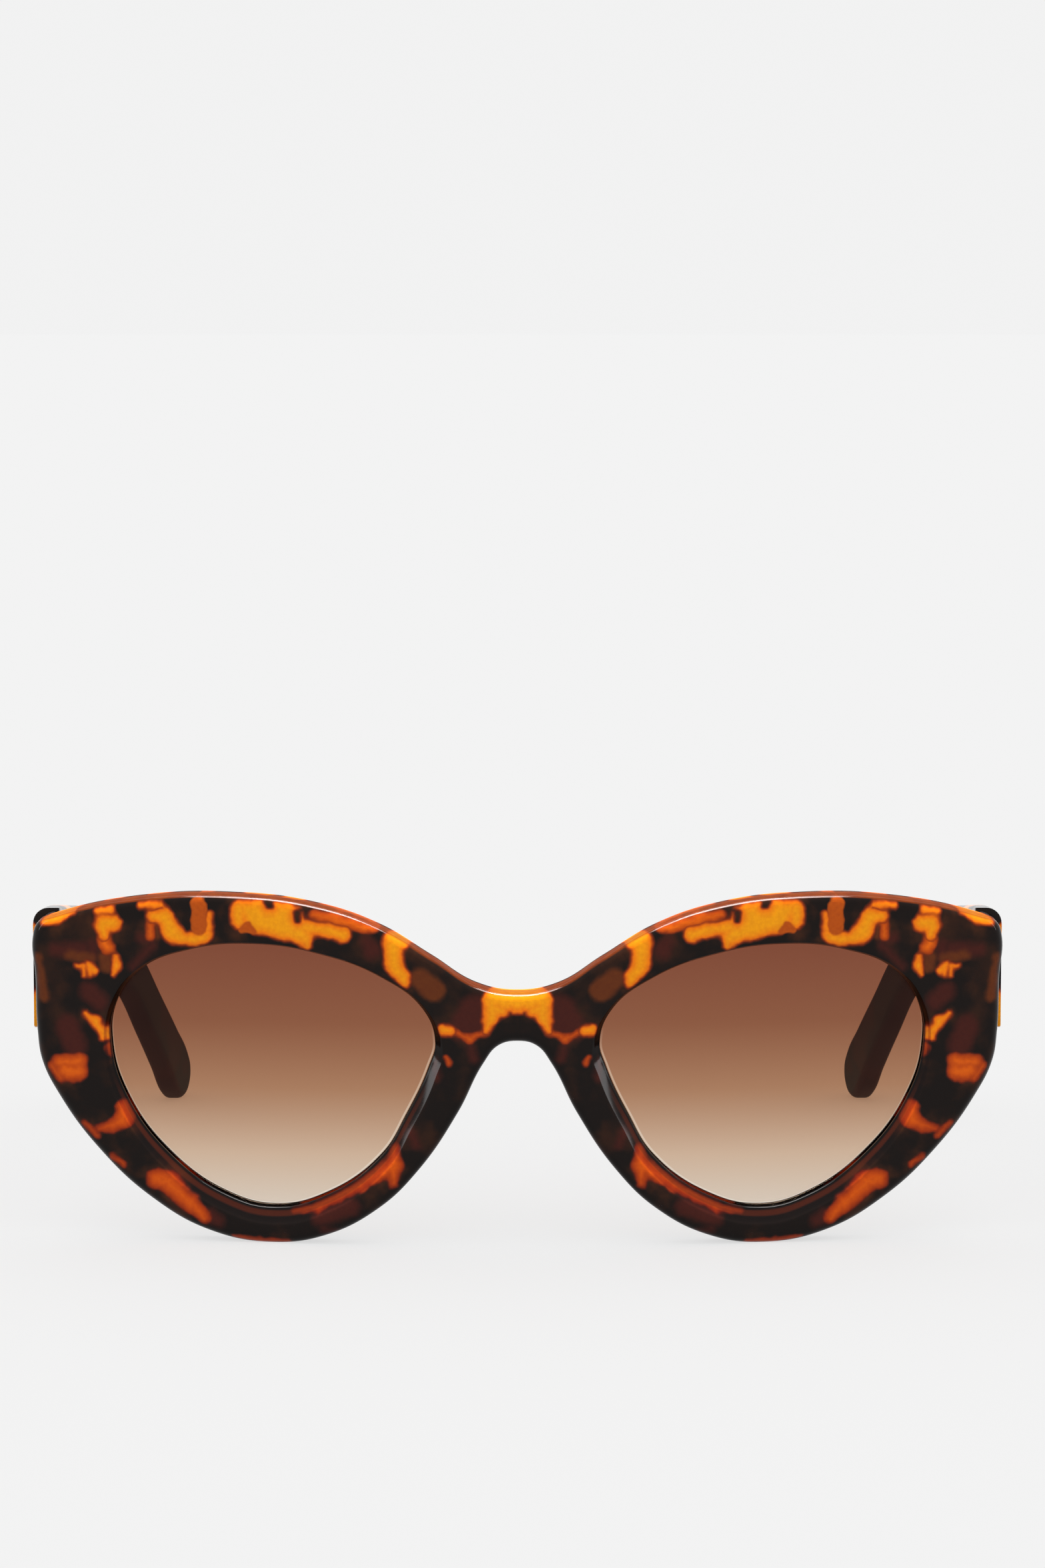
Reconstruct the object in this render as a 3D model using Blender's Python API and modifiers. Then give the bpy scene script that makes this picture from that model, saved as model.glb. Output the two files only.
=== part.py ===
"""Cat-eye sunglasses: a moulded front with two tinted lenses, two moulded temples that fold
on five-barrel metal hinges, and the screws and rivets that hold the hinges.

Frame: +Z up, the front faces -Y, the temples run towards +Y and the glasses stand open
on z = 0, with the origin under the middle of their bounding box. Outlines and sizes are in
millimetres, with y counted from the front of the bridge; place() turns them into metres.
"""
import math

import bmesh
import bpy
from mathutils import Matrix, Vector

MM = 0.001

# ---- Driving dimensions, in millimetres -------------------------------------------------
ORIGIN_Y = 70.1            # from the front of the bridge back to the origin
FRONT_DEPTH = 5.0          # thickness of the moulded front
FRONT_BEND_RADIUS = 280.0  # the front bends round the face on this radius
EDGE_BEVEL = 0.8           # broken edges of the front
TOUCH_GAP = 0.3            # space left between pieces that touch on the real object
STRIP = 8.0                # width of the strips a bent plate is divided into
OVERCUT = 1.0              # how far a cutter runs past the face that it opens
SAME_POINT = 0.0005        # points nearer to each other than this are one point
CURVE_STEPS = 3            # between two points of an outline

LENS_FRONT = 1.9           # depth of the lens's front face behind the front's face
LENS_THICKNESS = 1.8
LENS_IN_GROOVE = 0.7       # how far the lens edge reaches into the rim
GROOVE_DEPTH = 1.1
SLOPE_DEPTH = 1.2          # depth of the slope round each opening's front edge
SLOPE_LEAST = 0.3          # its width at the top of the opening
SLOPE_MOST = 2.3           # its width at the bottom
SLOPE_INSET = 0.05         # how far inside the opening the slope's back edge lies

HINGE_X = 69.2             # hinge axis, from the middle of the frame
HINGE_Y = 18.15
HINGE_Z = 38.4             # middle of the barrel
KNUCKLE_RADIUS = 1.6
KNUCKLE_HEIGHT = 1.2
KNUCKLE_SPACE = 0.15       # between neighbouring knuckles
WEB_INSET = 0.1            # how much less high than a knuckle its web is, at top and bottom
FRONT_KNUCKLES = (-2, 0, 2)  # places of the knuckles, counted from the middle of the barrel
TEMPLE_KNUCKLES = (-1, 1)
BORE_RADIUS = 0.75
SCREW_RADIUS = 0.67
SCREW_HEAD_RADIUS = 1.25
SCREW_HEAD_HEIGHT = 0.7
SCREW_SLOT_WIDTH = 0.32
SCREW_POINT = 0.3          # length of the taper at the shank's end
LEAF_THICKNESS = 1.2
LEAF_HALF_HEIGHT = 3.1
FRONT_LEAF_X = (66.4, 71.0)
FRONT_LEAF_Y = 14.3        # front face of the leaf on the front
TEMPLE_LEAF_Y = (20.0, 28.6)
TEMPLE_LEAF_X = 70.3       # inner face of the leaf on the temple
TEMPLE_LEAF_HALF_HEIGHT = 2.5
RIVET_RADIUS = 0.5
RIVET_HEAD_RADIUS = 0.75
RIVET_HEAD_HEIGHT = 0.4
RIVET_LENGTH = 2.4         # of the shank, under the head
FRONT_RIVET_X = 67.45
FRONT_RIVET_Z = (36.5, 40.3)
TEMPLE_RIVET_Y = (23.2, 26.6)
FRONT_WEB_X = (68.4, 70.4)  # webs join the knuckles to the leaf on the front
FRONT_WEB_Y = (14.9, 17.75)
TEMPLE_WEB_X = (68.3, 70.7)
TEMPLE_WEB_Y = (18.55, 20.7)
BARREL_SIDES = 16          # flat sides of the knuckles, bores and screws
RIVET_SIDES = 10

BUTT_Y = 18.0              # where the front's end pieces meet the temples
END_PIECE_ROOT_Y = 11.5    # how far forward the end pieces reach into the front
END_PIECE_X = (71.2, 74.0)
END_PIECE_Z = (31.2, 49.2)
END_PIECE_CORNER = 2.4     # radius of its upper outer corner
BOSS_X = (64.2, 71.6)      # flat boss behind the front that takes the hinge leaf
BOSS_ROOT_Y = 11.0
BOSS_BACK_Y = 14.9
BOSS_HALF_HEIGHT = 4.4

TEMPLE_OUTER_X = 75.2
TEMPLE_THICKNESS = 4.1     # at the hinge
TEMPLE_TIP_THICKNESS = 3.8
TEMPLE_THIN_FROM = 35.0    # y where the temple starts to get thinner
TEMPLE_THIN_TO = 100.0
TEMPLE_BEND_FROM = 34.1    # y where it starts to curve towards the head
TEMPLE_BEND = 0.00107      # inward curve: millimetres for each square millimetre
TEMPLE_EDGE_BEVEL = 0.7
TIP_TURNS = (45.0, 0.0, -45.0)  # degrees from the middle line to the points round the tip

NOSE_PAD_AT = (12.1, 7.0, 20.5)
NOSE_PAD_RADII = (2.2, 4.6, 6.5)
NOSE_PAD_LEAN = -27.0      # degrees from upright, along the rim
NOSE_PAD_SPLAY = 24.0      # degrees that its back end turns outward

# Outline of the front's right half, from the top of the bridge round to the nose arch: x, z.
FRONT_OUTLINE = [
    (0.0, 38.95), (6.2, 40.1), (13.0, 44.25), (21.0, 49.0), (31.0, 52.25), (43.5, 53.55),
    (57.0, 52.85), (70.9, 49.7), (73.6, 48.5), (74.5, 46.3), (74.15, 40.0), (73.9, 31.5),
    (73.2, 27.0), (70.6, 21.85), (64.4, 13.7), (56.1, 6.3), (47.0, 1.5), (37.4, -0.03),
    (29.4, 1.2), (21.2, 5.5), (15.1, 11.45), (9.0, 20.5), (5.1, 28.1), (2.9, 30.75),
    (0.0, 31.45),
]
# Outline of the right lens opening: x, z.
LENS_OUTLINE = [
    (12.5, 31.0), (14.2, 36.0), (20.6, 41.0), (30.5, 44.6), (40.2, 45.9), (50.0, 44.85),
    (57.8, 41.5), (61.6, 36.2), (62.3, 30.5), (60.0, 22.2), (53.1, 13.0), (44.2, 7.0),
    (37.1, 5.4), (29.8, 7.1), (20.8, 13.5), (16.95, 19.8), (13.5, 27.2),
]
# Middle line of the temple from ahead of its butt face to the tip: y, z and its height there.
TEMPLE_PATH = [
    (0.0, 40.4, 19.2), (15.0, 40.35, 19.0), (45.0, 38.9, 15.4), (75.0, 36.2, 11.4),
    (94.0, 32.4, 9.0), (107.0, 26.2, 8.4), (119.0, 17.8, 8.6), (129.0, 10.2, 9.0),
    (135.6, 4.6, 9.2),
]

COLOURS = {
    "tortoise": ((0.10, 0.035, 0.015, 1.0), 0.18, 0.0),
    "lens_tint": ((0.35, 0.18, 0.11, 0.6), 0.05, 0.0),
    "gold_metal": ((0.80, 0.58, 0.28, 1.0), 0.25, 1.0),
    "steel": ((0.62, 0.60, 0.57, 1.0), 0.3, 1.0),
}


# ---- Blender helpers --------------------------------------------------------------------
def clear_scene():
    for ob in list(bpy.data.objects):
        bpy.data.objects.remove(ob, do_unlink=True)


def new_collection(name):
    collection = bpy.data.collections.new(name)
    bpy.context.scene.collection.children.link(collection)
    return collection


def new_material(name):
    colour, roughness, metallic = COLOURS[name]
    material = bpy.data.materials.new(name)
    material.use_nodes = True
    shader = material.node_tree.nodes["Principled BSDF"]
    shader.inputs["Base Color"].default_value = colour
    shader.inputs["Roughness"].default_value = roughness
    shader.inputs["Metallic"].default_value = metallic
    shader.inputs["Alpha"].default_value = colour[3]
    return material


def add_object(name, mesh, collection, material=None):
    ob = bpy.data.objects.new(name, mesh)
    collection.objects.link(ob)
    if material:
        mesh.materials.append(material)
    return ob


def make_cutter(ob):
    ob.hide_render = True
    ob.display_type = "WIRE"
    return ob


def boolean(ob, other, operation):
    modifier = ob.modifiers.new(f"{operation.lower()}_{other.name}", "BOOLEAN")
    modifier.operation = operation
    modifier.solver = "EXACT"
    modifier.object = other


def edit(mesh, change):
    """Run change(bm) on a mesh."""
    bm = bmesh.new()
    bm.from_mesh(mesh)
    change(bm)
    bm.to_mesh(mesh)
    bm.free()
    return mesh


def shade(mesh):
    mesh.shade_smooth()
    mesh.set_sharp_from_angle(angle=math.radians(35.0))


def merge_points(bm):
    bmesh.ops.remove_doubles(bm, verts=bm.verts, dist=SAME_POINT)


def curve_mesh(outlines, half_thickness, bevel, offset=0.0):
    """Fill closed outlines in the XY plane as a plate: an outer line, then any openings."""
    curve = bpy.data.curves.new("outline", "CURVE")
    curve.dimensions = "2D"
    curve.fill_mode = "BOTH"
    curve.extrude = half_thickness - bevel
    curve.bevel_depth = bevel
    curve.bevel_resolution = 0
    curve.offset = offset - bevel
    curve.resolution_u = CURVE_STEPS
    for points in outlines:
        spline = curve.splines.new("BEZIER")
        spline.bezier_points.add(len(points) - 1)
        for anchor, (x, y) in zip(spline.bezier_points, points):
            anchor.co = (x, y, 0.0)
            anchor.handle_left_type = "AUTO"
            anchor.handle_right_type = "AUTO"
        spline.use_cyclic_u = True
    holder = bpy.data.objects.new("outline", curve)
    bpy.context.scene.collection.objects.link(holder)
    graph = bpy.context.evaluated_depsgraph_get()
    mesh = bpy.data.meshes.new_from_object(holder.evaluated_get(graph))
    bpy.data.objects.remove(holder, do_unlink=True)
    bpy.data.curves.remove(curve)
    return edit(mesh, merge_points)


def divide(mesh, low, high):
    """Divide a plate into strips across X, so that it can bend."""
    def change(bm):
        count = math.ceil((high - low) / STRIP)
        for i in range(1, count):
            x = low + (high - low) * i / count
            geom = list(bm.verts) + list(bm.edges) + list(bm.faces)
            bmesh.ops.bisect_plane(
                bm, geom=geom, plane_co=(x, 0, 0), plane_no=(1, 0, 0), dist=SAME_POINT,
            )
        merge_points(bm)
        bmesh.ops.triangulate(bm, faces=bm.faces)
    return edit(mesh, change)


def trim(bm, point, normal, tolerance):
    """Cut away what lies beyond a plane and close the cut."""
    geom = list(bm.verts) + list(bm.edges) + list(bm.faces)
    cut = bmesh.ops.bisect_plane(
        bm, geom=geom, plane_co=point, plane_no=normal, clear_outer=True, dist=tolerance,
    )
    edges = [e for e in cut["geom_cut"] if isinstance(e, bmesh.types.BMEdge)]
    bmesh.ops.contextual_create(bm, geom=edges)
    bmesh.ops.triangulate(bm, faces=bm.faces)


def place(mesh, where, side=1):
    """Move each point of a mesh in millimetres to where(point) in metres; side -1 mirrors it."""
    for v in mesh.vertices:
        x, y, z = where(v.co)
        v.co = (side * x * MM, (y - ORIGIN_Y) * MM, z * MM)

    def outward(bm):
        bmesh.ops.recalc_face_normals(bm, faces=bm.faces)
    return edit(mesh, outward)


def box(name, low, high, collection, side=1, bevel_edge=None, bevel=0.0):
    """A box between two corners in millimetres; bevel_edge(edge) picks edges to round."""
    mesh = bpy.data.meshes.new(name)
    size = Vector(high) - Vector(low)
    middle = (Vector(high) + Vector(low)) / 2

    matrix = Matrix.Translation(middle) @ Matrix.Diagonal((*size, 1.0))

    def change(bm):
        bmesh.ops.create_cube(bm, size=1.0, matrix=matrix)
        edges = [e for e in bm.edges if bevel_edge and bevel_edge(e)]
        if edges:
            bmesh.ops.bevel(bm, geom=edges, offset=bevel, segments=4, profile=0.5, affect="EDGES")
    edit(mesh, change)
    place(mesh, lambda p: p, side)
    return add_object(name, mesh, collection)


def cylinder(name, radius, start, end, collection, side=1, segments=BARREL_SIDES):
    """A cylinder from start to end, both in millimetres."""
    mesh = bpy.data.meshes.new(name)
    start, end = Vector(start), Vector(end)
    run = end - start
    turn = run.to_track_quat("Z", "Y").to_matrix().to_4x4()
    matrix = Matrix.Translation((start + end) / 2) @ turn

    def change(bm):
        bmesh.ops.create_cone(
            bm, cap_ends=True, segments=segments, radius1=radius, radius2=radius,
            depth=run.length, matrix=matrix,
        )
    edit(mesh, change)
    place(mesh, lambda p: p, side)
    return add_object(name, mesh, collection)


# ---- Shapes of the front ----------------------------------------------------------------
def sag(x):
    """How far the bent front has gone back at x."""
    return FRONT_BEND_RADIUS - math.sqrt(FRONT_BEND_RADIUS ** 2 - x ** 2)


def on_front(depth):
    """Stand a flat plate up so that its middle is depth behind the front's bent face."""
    return lambda p: (p.x, depth - p.z + sag(p.x), p.y)


def whole_outline(half):
    """Both halves of an outline that is given from the middle round to the middle."""
    return half + [(-x, z) for x, z in reversed(half[1:-1])]


def mirrored(points):
    return [(-x, z) for x, z in points]


def front_plate(collection, material):
    outlines = [whole_outline(FRONT_OUTLINE), LENS_OUTLINE, mirrored(LENS_OUTLINE)]
    mesh = curve_mesh(outlines, FRONT_DEPTH / 2, EDGE_BEVEL)
    divide(mesh, -TEMPLE_OUTER_X, TEMPLE_OUTER_X)
    place(mesh, on_front(FRONT_DEPTH / 2))
    # A narrow flat under each rim is what the glasses stand on.
    edit(mesh, lambda bm: trim(bm, (0, 0, 0), (0, 0, -1), SAME_POINT * MM))
    return add_object("front_frame", mesh, collection, material)


def lens_plate(name, side, grow, front, thickness, collection, material=None):
    """A bent plate with the opening's outline grown by grow: a lens, or the cutter of its groove."""
    mesh = curve_mesh([LENS_OUTLINE], thickness / 2, 0.0, offset=grow)
    divide(mesh, 0.0, TEMPLE_OUTER_X)
    place(mesh, on_front(front + thickness / 2), side)
    return add_object(name, mesh, collection, material)


def border_points(mesh):
    """The points round the border of a flat mesh, in order."""
    bm = bmesh.new()
    bm.from_mesh(mesh)
    rim = next(e for e in bm.edges if e.is_boundary)
    first, vert = rim.verts
    ring = [first]
    while vert is not first:
        ring.append(vert)
        rim = next(e for e in vert.link_edges if e.is_boundary and e is not rim)
        vert = rim.other_vert(vert)
    points = [v.co.copy() for v in ring]
    bm.free()
    return points


def slope_cutter(side, collection):
    """A loft that widens from the opening's outline, behind, to a wider one in front of the rim.

    It is widest where the outline faces down and narrowest where it faces up.
    """
    points = border_points(curve_mesh([LENS_OUTLINE], 0.0, 0.0))
    count = len(points)
    area = sum(points[i - 1].x * points[i].y - points[i].x * points[i - 1].y for i in range(count))
    turn = 1.0 if area > 0 else -1.0
    ahead = 1.0 + TOUCH_GAP / SLOPE_DEPTH
    back, front = [], []
    for i, p in enumerate(points):
        along = (points[(i + 1) % count] - points[i - 1]).normalized()
        outward = Vector((along.y, -along.x, 0.0)) * turn
        width = SLOPE_LEAST + (SLOPE_MOST - SLOPE_LEAST) * ((1.0 - outward.y) / 2.0) ** 1.5
        back.append(Vector((p.x, p.y, 0.0)) - outward * SLOPE_INSET)
        front.append(Vector((p.x, p.y, SLOPE_DEPTH * ahead)) + outward * width * ahead)

    mesh = bpy.data.meshes.new("slope_cutter")

    def loft(bm):
        rings = [[bm.verts.new(p) for p in line] for line in (back, front)]
        for i in range(count):
            j = (i + 1) % count
            bm.faces.new((rings[0][i], rings[0][j], rings[1][j], rings[1][i]))
        for ring_verts in rings:
            bm.faces.new(ring_verts)
    edit(mesh, loft)
    divide(mesh, 0.0, TEMPLE_OUTER_X)
    place(mesh, on_front(SLOPE_DEPTH), side)
    return make_cutter(add_object(f"slope_cutter_{side}", mesh, collection))


def nose_pad(side, collection):
    """A moulded pad behind the nasal part of the rim."""
    mesh = bpy.data.meshes.new("nose_pad")
    lean = Matrix.Rotation(math.radians(NOSE_PAD_LEAN), 4, "Y")
    splay = Matrix.Rotation(math.radians(-NOSE_PAD_SPLAY), 4, "Z")
    radii = Matrix.Diagonal((*NOSE_PAD_RADII, 1.0))
    matrix = Matrix.Translation(NOSE_PAD_AT) @ lean @ splay @ radii

    def change(bm):
        bmesh.ops.create_uvsphere(bm, u_segments=12, v_segments=8, radius=1.0, matrix=matrix)
    edit(mesh, change)
    place(mesh, lambda p: p, side)
    return make_cutter(add_object(f"nose_pad_{side}", mesh, collection))


def is_upper_outer(edge):
    """Whether an end piece's edge is its upper outer one."""
    at_x, at_z = END_PIECE_X[1] - SAME_POINT, END_PIECE_Z[1] - SAME_POINT
    return all(v.co.x > at_x and v.co.z > at_z for v in edge.verts)


def end_piece(side, cutters):
    """The arm of the front that reaches back to meet the temple."""
    low = (END_PIECE_X[0], END_PIECE_ROOT_Y, END_PIECE_Z[0])
    high = (END_PIECE_X[1], BUTT_Y, END_PIECE_Z[1])
    return make_cutter(box(
        f"end_piece_{side}", low, high, cutters, side,
        bevel_edge=is_upper_outer, bevel=END_PIECE_CORNER,
    ))


def hinge_boss(side, cutters):
    low = (BOSS_X[0], BOSS_ROOT_Y, HINGE_Z - BOSS_HALF_HEIGHT)
    high = (BOSS_X[1], BOSS_BACK_Y, HINGE_Z + BOSS_HALF_HEIGHT)
    return make_cutter(box(f"boss_{side}", low, high, cutters, side))


def front_pocket(side, cutters):
    """The recess in the boss and the end piece that takes the leaf on the front."""
    half = LEAF_HALF_HEIGHT + TOUCH_GAP
    low = (FRONT_LEAF_X[0] - TOUCH_GAP, FRONT_LEAF_Y - TOUCH_GAP, HINGE_Z - half)
    high = (END_PIECE_X[0], BUTT_Y + OVERCUT, HINGE_Z + half)
    return make_cutter(box(f"front_pocket_{side}", low, high, cutters, side))


def build_front(parts, cutters, material):
    front = front_plate(parts, material)
    for side in (1, -1):
        groove = lens_plate(
            f"groove_cutter_{side}", side, GROOVE_DEPTH, LENS_FRONT - TOUCH_GAP,
            LENS_THICKNESS + 2 * TOUCH_GAP, cutters,
        )
        boolean(front, make_cutter(groove), "DIFFERENCE")
        boolean(front, slope_cutter(side, cutters), "DIFFERENCE")
        boolean(front, end_piece(side, cutters), "UNION")
        boolean(front, hinge_boss(side, cutters), "UNION")
        boolean(front, nose_pad(side, cutters), "UNION")
        boolean(front, front_pocket(side, cutters), "DIFFERENCE")
        for i, (x, y, z) in enumerate(front_rivet_points()):
            hole = cylinder(
                f"front_rivet_hole_{side}_{i}", RIVET_RADIUS + TOUCH_GAP, (x, y + OVERCUT, z),
                (x, y - RIVET_LENGTH - TOUCH_GAP, z), cutters, side, segments=RIVET_SIDES,
            )
            boolean(front, make_cutter(hole), "DIFFERENCE")
    shade(front.data)


# ---- Temples ----------------------------------------------------------------------------
def temple_outline():
    """The temple's side outline, from its middle line and heights, with a round tip."""
    path = [Vector((y, z)) for y, z, _ in TEMPLE_PATH]
    upper, lower = [], []
    for i, (y, z, height) in enumerate(TEMPLE_PATH):
        before, after = path[max(i - 1, 0)], path[min(i + 1, len(path) - 1)]
        along = (after - before).normalized()
        normal = Vector((-along.y, along.x)) if i else Vector((0.0, 1.0))
        upper.append(path[i] + normal * height / 2)
        lower.append(path[i] - normal * height / 2)
    along = (path[-1] - path[-2]).normalized()
    normal = Vector((-along.y, along.x))
    radius = TEMPLE_PATH[-1][2] / 2
    tip = [
        path[-1] + (along * math.cos(a) + normal * math.sin(a)) * radius
        for a in map(math.radians, TIP_TURNS)
    ]
    return [tuple(p) for p in upper + tip + lower[::-1]]


def temple_middle_x(y):
    bend = TEMPLE_BEND * max(y - TEMPLE_BEND_FROM, 0.0) ** 2
    return TEMPLE_OUTER_X - TEMPLE_THICKNESS / 2 - bend


def temple_thinning(y):
    """The temple's thickness at y over its thickness at the hinge."""
    t = min(max((y - TEMPLE_THIN_FROM) / (TEMPLE_THIN_TO - TEMPLE_THIN_FROM), 0.0), 1.0)
    t = t * t * (3.0 - 2.0 * t)
    return 1.0 + (TEMPLE_TIP_THICKNESS / TEMPLE_THICKNESS - 1.0) * t


def on_temple(p):
    return (temple_middle_x(p.x) + p.z * temple_thinning(p.x), p.x, p.y)


def temple_pocket(side, cutters):
    """The recess in the temple's inner face that takes its hinge leaf."""
    half = TEMPLE_LEAF_HALF_HEIGHT + TOUCH_GAP
    inner_x = TEMPLE_OUTER_X - TEMPLE_THICKNESS - OVERCUT
    low = (inner_x, TEMPLE_LEAF_Y[0] - TOUCH_GAP, HINGE_Z - half)
    high = (TEMPLE_LEAF_X + LEAF_THICKNESS + TOUCH_GAP, TEMPLE_LEAF_Y[1] + TOUCH_GAP, HINGE_Z + half)
    return make_cutter(box(f"temple_pocket_{side}", low, high, cutters, side))


def build_temple(name, side, parts, cutters, material):
    start, end = BUTT_Y + TOUCH_GAP, TEMPLE_PATH[-1][0] + TEMPLE_PATH[-1][2]
    mesh = curve_mesh([temple_outline()], TEMPLE_THICKNESS / 2, TEMPLE_EDGE_BEVEL)
    divide(mesh, start, end)
    # The end that meets the front is a flat, upright butt face.
    edit(mesh, lambda bm: trim(bm, (start, 0, 0), (-1, 0, 0), SAME_POINT))
    place(mesh, on_temple, side)
    temple = add_object(name, mesh, parts, material)
    boolean(temple, temple_pocket(side, cutters), "DIFFERENCE")
    for i, (x, y, z) in enumerate(temple_rivet_points()):
        hole = cylinder(
            f"temple_rivet_hole_{side}_{i}", RIVET_RADIUS + TOUCH_GAP, (x - OVERCUT, y, z),
            (x + RIVET_LENGTH + TOUCH_GAP, y, z), cutters, side,
        )
        boolean(temple, make_cutter(hole), "DIFFERENCE")
    shade(temple.data)


# ---- Hinges, screws and rivets ----------------------------------------------------------
def front_rivet_points():
    """Under the heads of the rivets through the leaf on the front."""
    y = FRONT_LEAF_Y + LEAF_THICKNESS + TOUCH_GAP
    return [(FRONT_RIVET_X, y, z) for z in FRONT_RIVET_Z]


def temple_rivet_points():
    """Under the heads of the rivets through the leaf on the temple."""
    x = TEMPLE_LEAF_X - TOUCH_GAP
    return [(x, y, HINGE_Z) for y in TEMPLE_RIVET_Y]


def knuckle_spans(slots):
    """The lowest and highest z of the knuckles in the given places of the five."""
    half = KNUCKLE_HEIGHT / 2
    middles = [HINGE_Z + slot * (KNUCKLE_HEIGHT + KNUCKLE_SPACE) for slot in slots]
    return [(middle - half, middle + half) for middle in middles]


def on_hinge_axis(name, radius, low, high, side, cutters):
    """A cylinder about the hinge axis between two heights."""
    start, end = (HINGE_X, HINGE_Y, low), (HINGE_X, HINGE_Y, high)
    return make_cutter(cylinder(name, radius, start, end, cutters, side))


def build_leaf(name, side, plate, web, slots, rivets, parts, cutters, material):
    """A hinge leaf: a plate, and knuckles that a web joins to it, bored for the screw."""
    leaf = box(name, *plate, parts, side)
    leaf.data.materials.append(material)
    (x0, x1), (y0, y1) = web
    for i, (low, high) in enumerate(knuckle_spans(slots)):
        bridge_low, bridge_high = (x0, y0, low + WEB_INSET), (x1, y1, high - WEB_INSET)
        bridge = box(f"{name}_web_{i}", bridge_low, bridge_high, cutters, side)
        barrel = on_hinge_axis(f"{name}_knuckle_{i}", KNUCKLE_RADIUS, low, high, side, cutters)
        boolean(leaf, make_cutter(bridge), "UNION")
        boolean(leaf, barrel, "UNION")
    reach = LEAF_HALF_HEIGHT + 2 * OVERCUT
    bore = on_hinge_axis(
        f"{name}_bore", BORE_RADIUS, HINGE_Z - reach, HINGE_Z + reach, side, cutters,
    )
    boolean(leaf, bore, "DIFFERENCE")
    for i, (start, end) in enumerate(rivets):
        hole = cylinder(
            f"{name}_rivet_hole_{i}", RIVET_RADIUS + TOUCH_GAP, start, end, cutters, side,
            segments=RIVET_SIDES,
        )
        boolean(leaf, make_cutter(hole), "DIFFERENCE")
    shade(leaf.data)


def build_front_hinge(name, side, parts, cutters, material):
    plate = (
        (FRONT_LEAF_X[0], FRONT_LEAF_Y, HINGE_Z - LEAF_HALF_HEIGHT),
        (FRONT_LEAF_X[1] - TOUCH_GAP, FRONT_LEAF_Y + LEAF_THICKNESS, HINGE_Z + LEAF_HALF_HEIGHT),
    )
    web = (FRONT_WEB_X, FRONT_WEB_Y)
    through = LEAF_THICKNESS + OVERCUT
    rivets = [((x, y + OVERCUT, z), (x, y - through, z)) for x, y, z in front_rivet_points()]
    build_leaf(name, side, plate, web, FRONT_KNUCKLES, rivets, parts, cutters, material)


def build_temple_hinge(name, side, parts, cutters, material):
    plate = (
        (TEMPLE_LEAF_X, TEMPLE_LEAF_Y[0], HINGE_Z - TEMPLE_LEAF_HALF_HEIGHT),
        (TEMPLE_LEAF_X + LEAF_THICKNESS, TEMPLE_LEAF_Y[1], HINGE_Z + TEMPLE_LEAF_HALF_HEIGHT),
    )
    web = (TEMPLE_WEB_X, TEMPLE_WEB_Y)
    through = LEAF_THICKNESS + OVERCUT
    rivets = [((x - OVERCUT, y, z), (x + through, y, z)) for x, y, z in temple_rivet_points()]
    build_leaf(name, side, plate, web, TEMPLE_KNUCKLES, rivets, parts, cutters, material)


def turned_mesh(profile, segments):
    """Turn a profile of (radius, height) points about Z, top to bottom, with a Screw modifier."""
    mesh = bpy.data.meshes.new("profile")
    edges = [(i, i + 1) for i in range(len(profile) - 1)]
    mesh.from_pydata([(r, 0.0, z) for r, z in profile], edges, [])
    holder = bpy.data.objects.new("profile", mesh)
    bpy.context.scene.collection.objects.link(holder)
    screw = holder.modifiers.new("turn", "SCREW")
    screw.steps = segments
    screw.render_steps = segments
    screw.use_merge_vertices = True
    screw.merge_threshold = 0.0001
    graph = bpy.context.evaluated_depsgraph_get()
    turned = bpy.data.meshes.new_from_object(holder.evaluated_get(graph))
    bpy.data.objects.remove(holder, do_unlink=True)
    return turned


def build_screw(name, side, parts, cutters, material):
    """A slotted hinge screw: its head rests on the top knuckle, its shank ends in the lowest."""
    spans = knuckle_spans(FRONT_KNUCKLES)
    barrel_bottom, barrel_top = spans[0][0], spans[-1][1]
    head = barrel_top + TOUCH_GAP
    profile = [
        (0.0, head + SCREW_HEAD_HEIGHT),
        (SCREW_HEAD_RADIUS * 0.75, head + SCREW_HEAD_HEIGHT * 0.9),
        (SCREW_HEAD_RADIUS, head + SCREW_HEAD_HEIGHT * 0.45),
        (SCREW_HEAD_RADIUS, head),
        (SCREW_RADIUS, head),
        (SCREW_RADIUS, barrel_bottom + SCREW_POINT),
        (SCREW_RADIUS * 0.7, barrel_bottom),
        (0.0, barrel_bottom),
    ]
    mesh = turned_mesh(profile, BARREL_SIDES)
    place(mesh, lambda p: (HINGE_X + p.x, HINGE_Y + p.y, p.z), side)
    screw = add_object(name, mesh, parts, material)
    reach = SCREW_HEAD_RADIUS + OVERCUT
    slot_low = (HINGE_X - reach, HINGE_Y - SCREW_SLOT_WIDTH / 2, head + SCREW_HEAD_HEIGHT / 2)
    slot_high = (HINGE_X + reach, HINGE_Y + SCREW_SLOT_WIDTH / 2, head + SCREW_HEAD_HEIGHT + OVERCUT)
    slot = box(f"{name}_slot", slot_low, slot_high, cutters, side)
    boolean(screw, make_cutter(slot), "DIFFERENCE")
    shade(screw.data)


def build_rivet(name, side, at, direction, parts, material):
    """A domed rivet whose head's underside is at a point and whose shank runs along direction."""
    profile = [
        (0.0, RIVET_HEAD_HEIGHT),
        (RIVET_HEAD_RADIUS * 0.7, RIVET_HEAD_HEIGHT * 0.8),
        (RIVET_HEAD_RADIUS, 0.0),
        (RIVET_RADIUS, 0.0),
        (RIVET_RADIUS, -RIVET_LENGTH),
        (0.0, -RIVET_LENGTH),
    ]
    mesh = turned_mesh(profile, RIVET_SIDES)
    turn = Vector(direction).to_track_quat("-Z", "Y").to_matrix()
    place(mesh, lambda p: Vector(at) + turn @ p, side)
    add_object(name, mesh, parts, material)
    shade(mesh)


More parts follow.
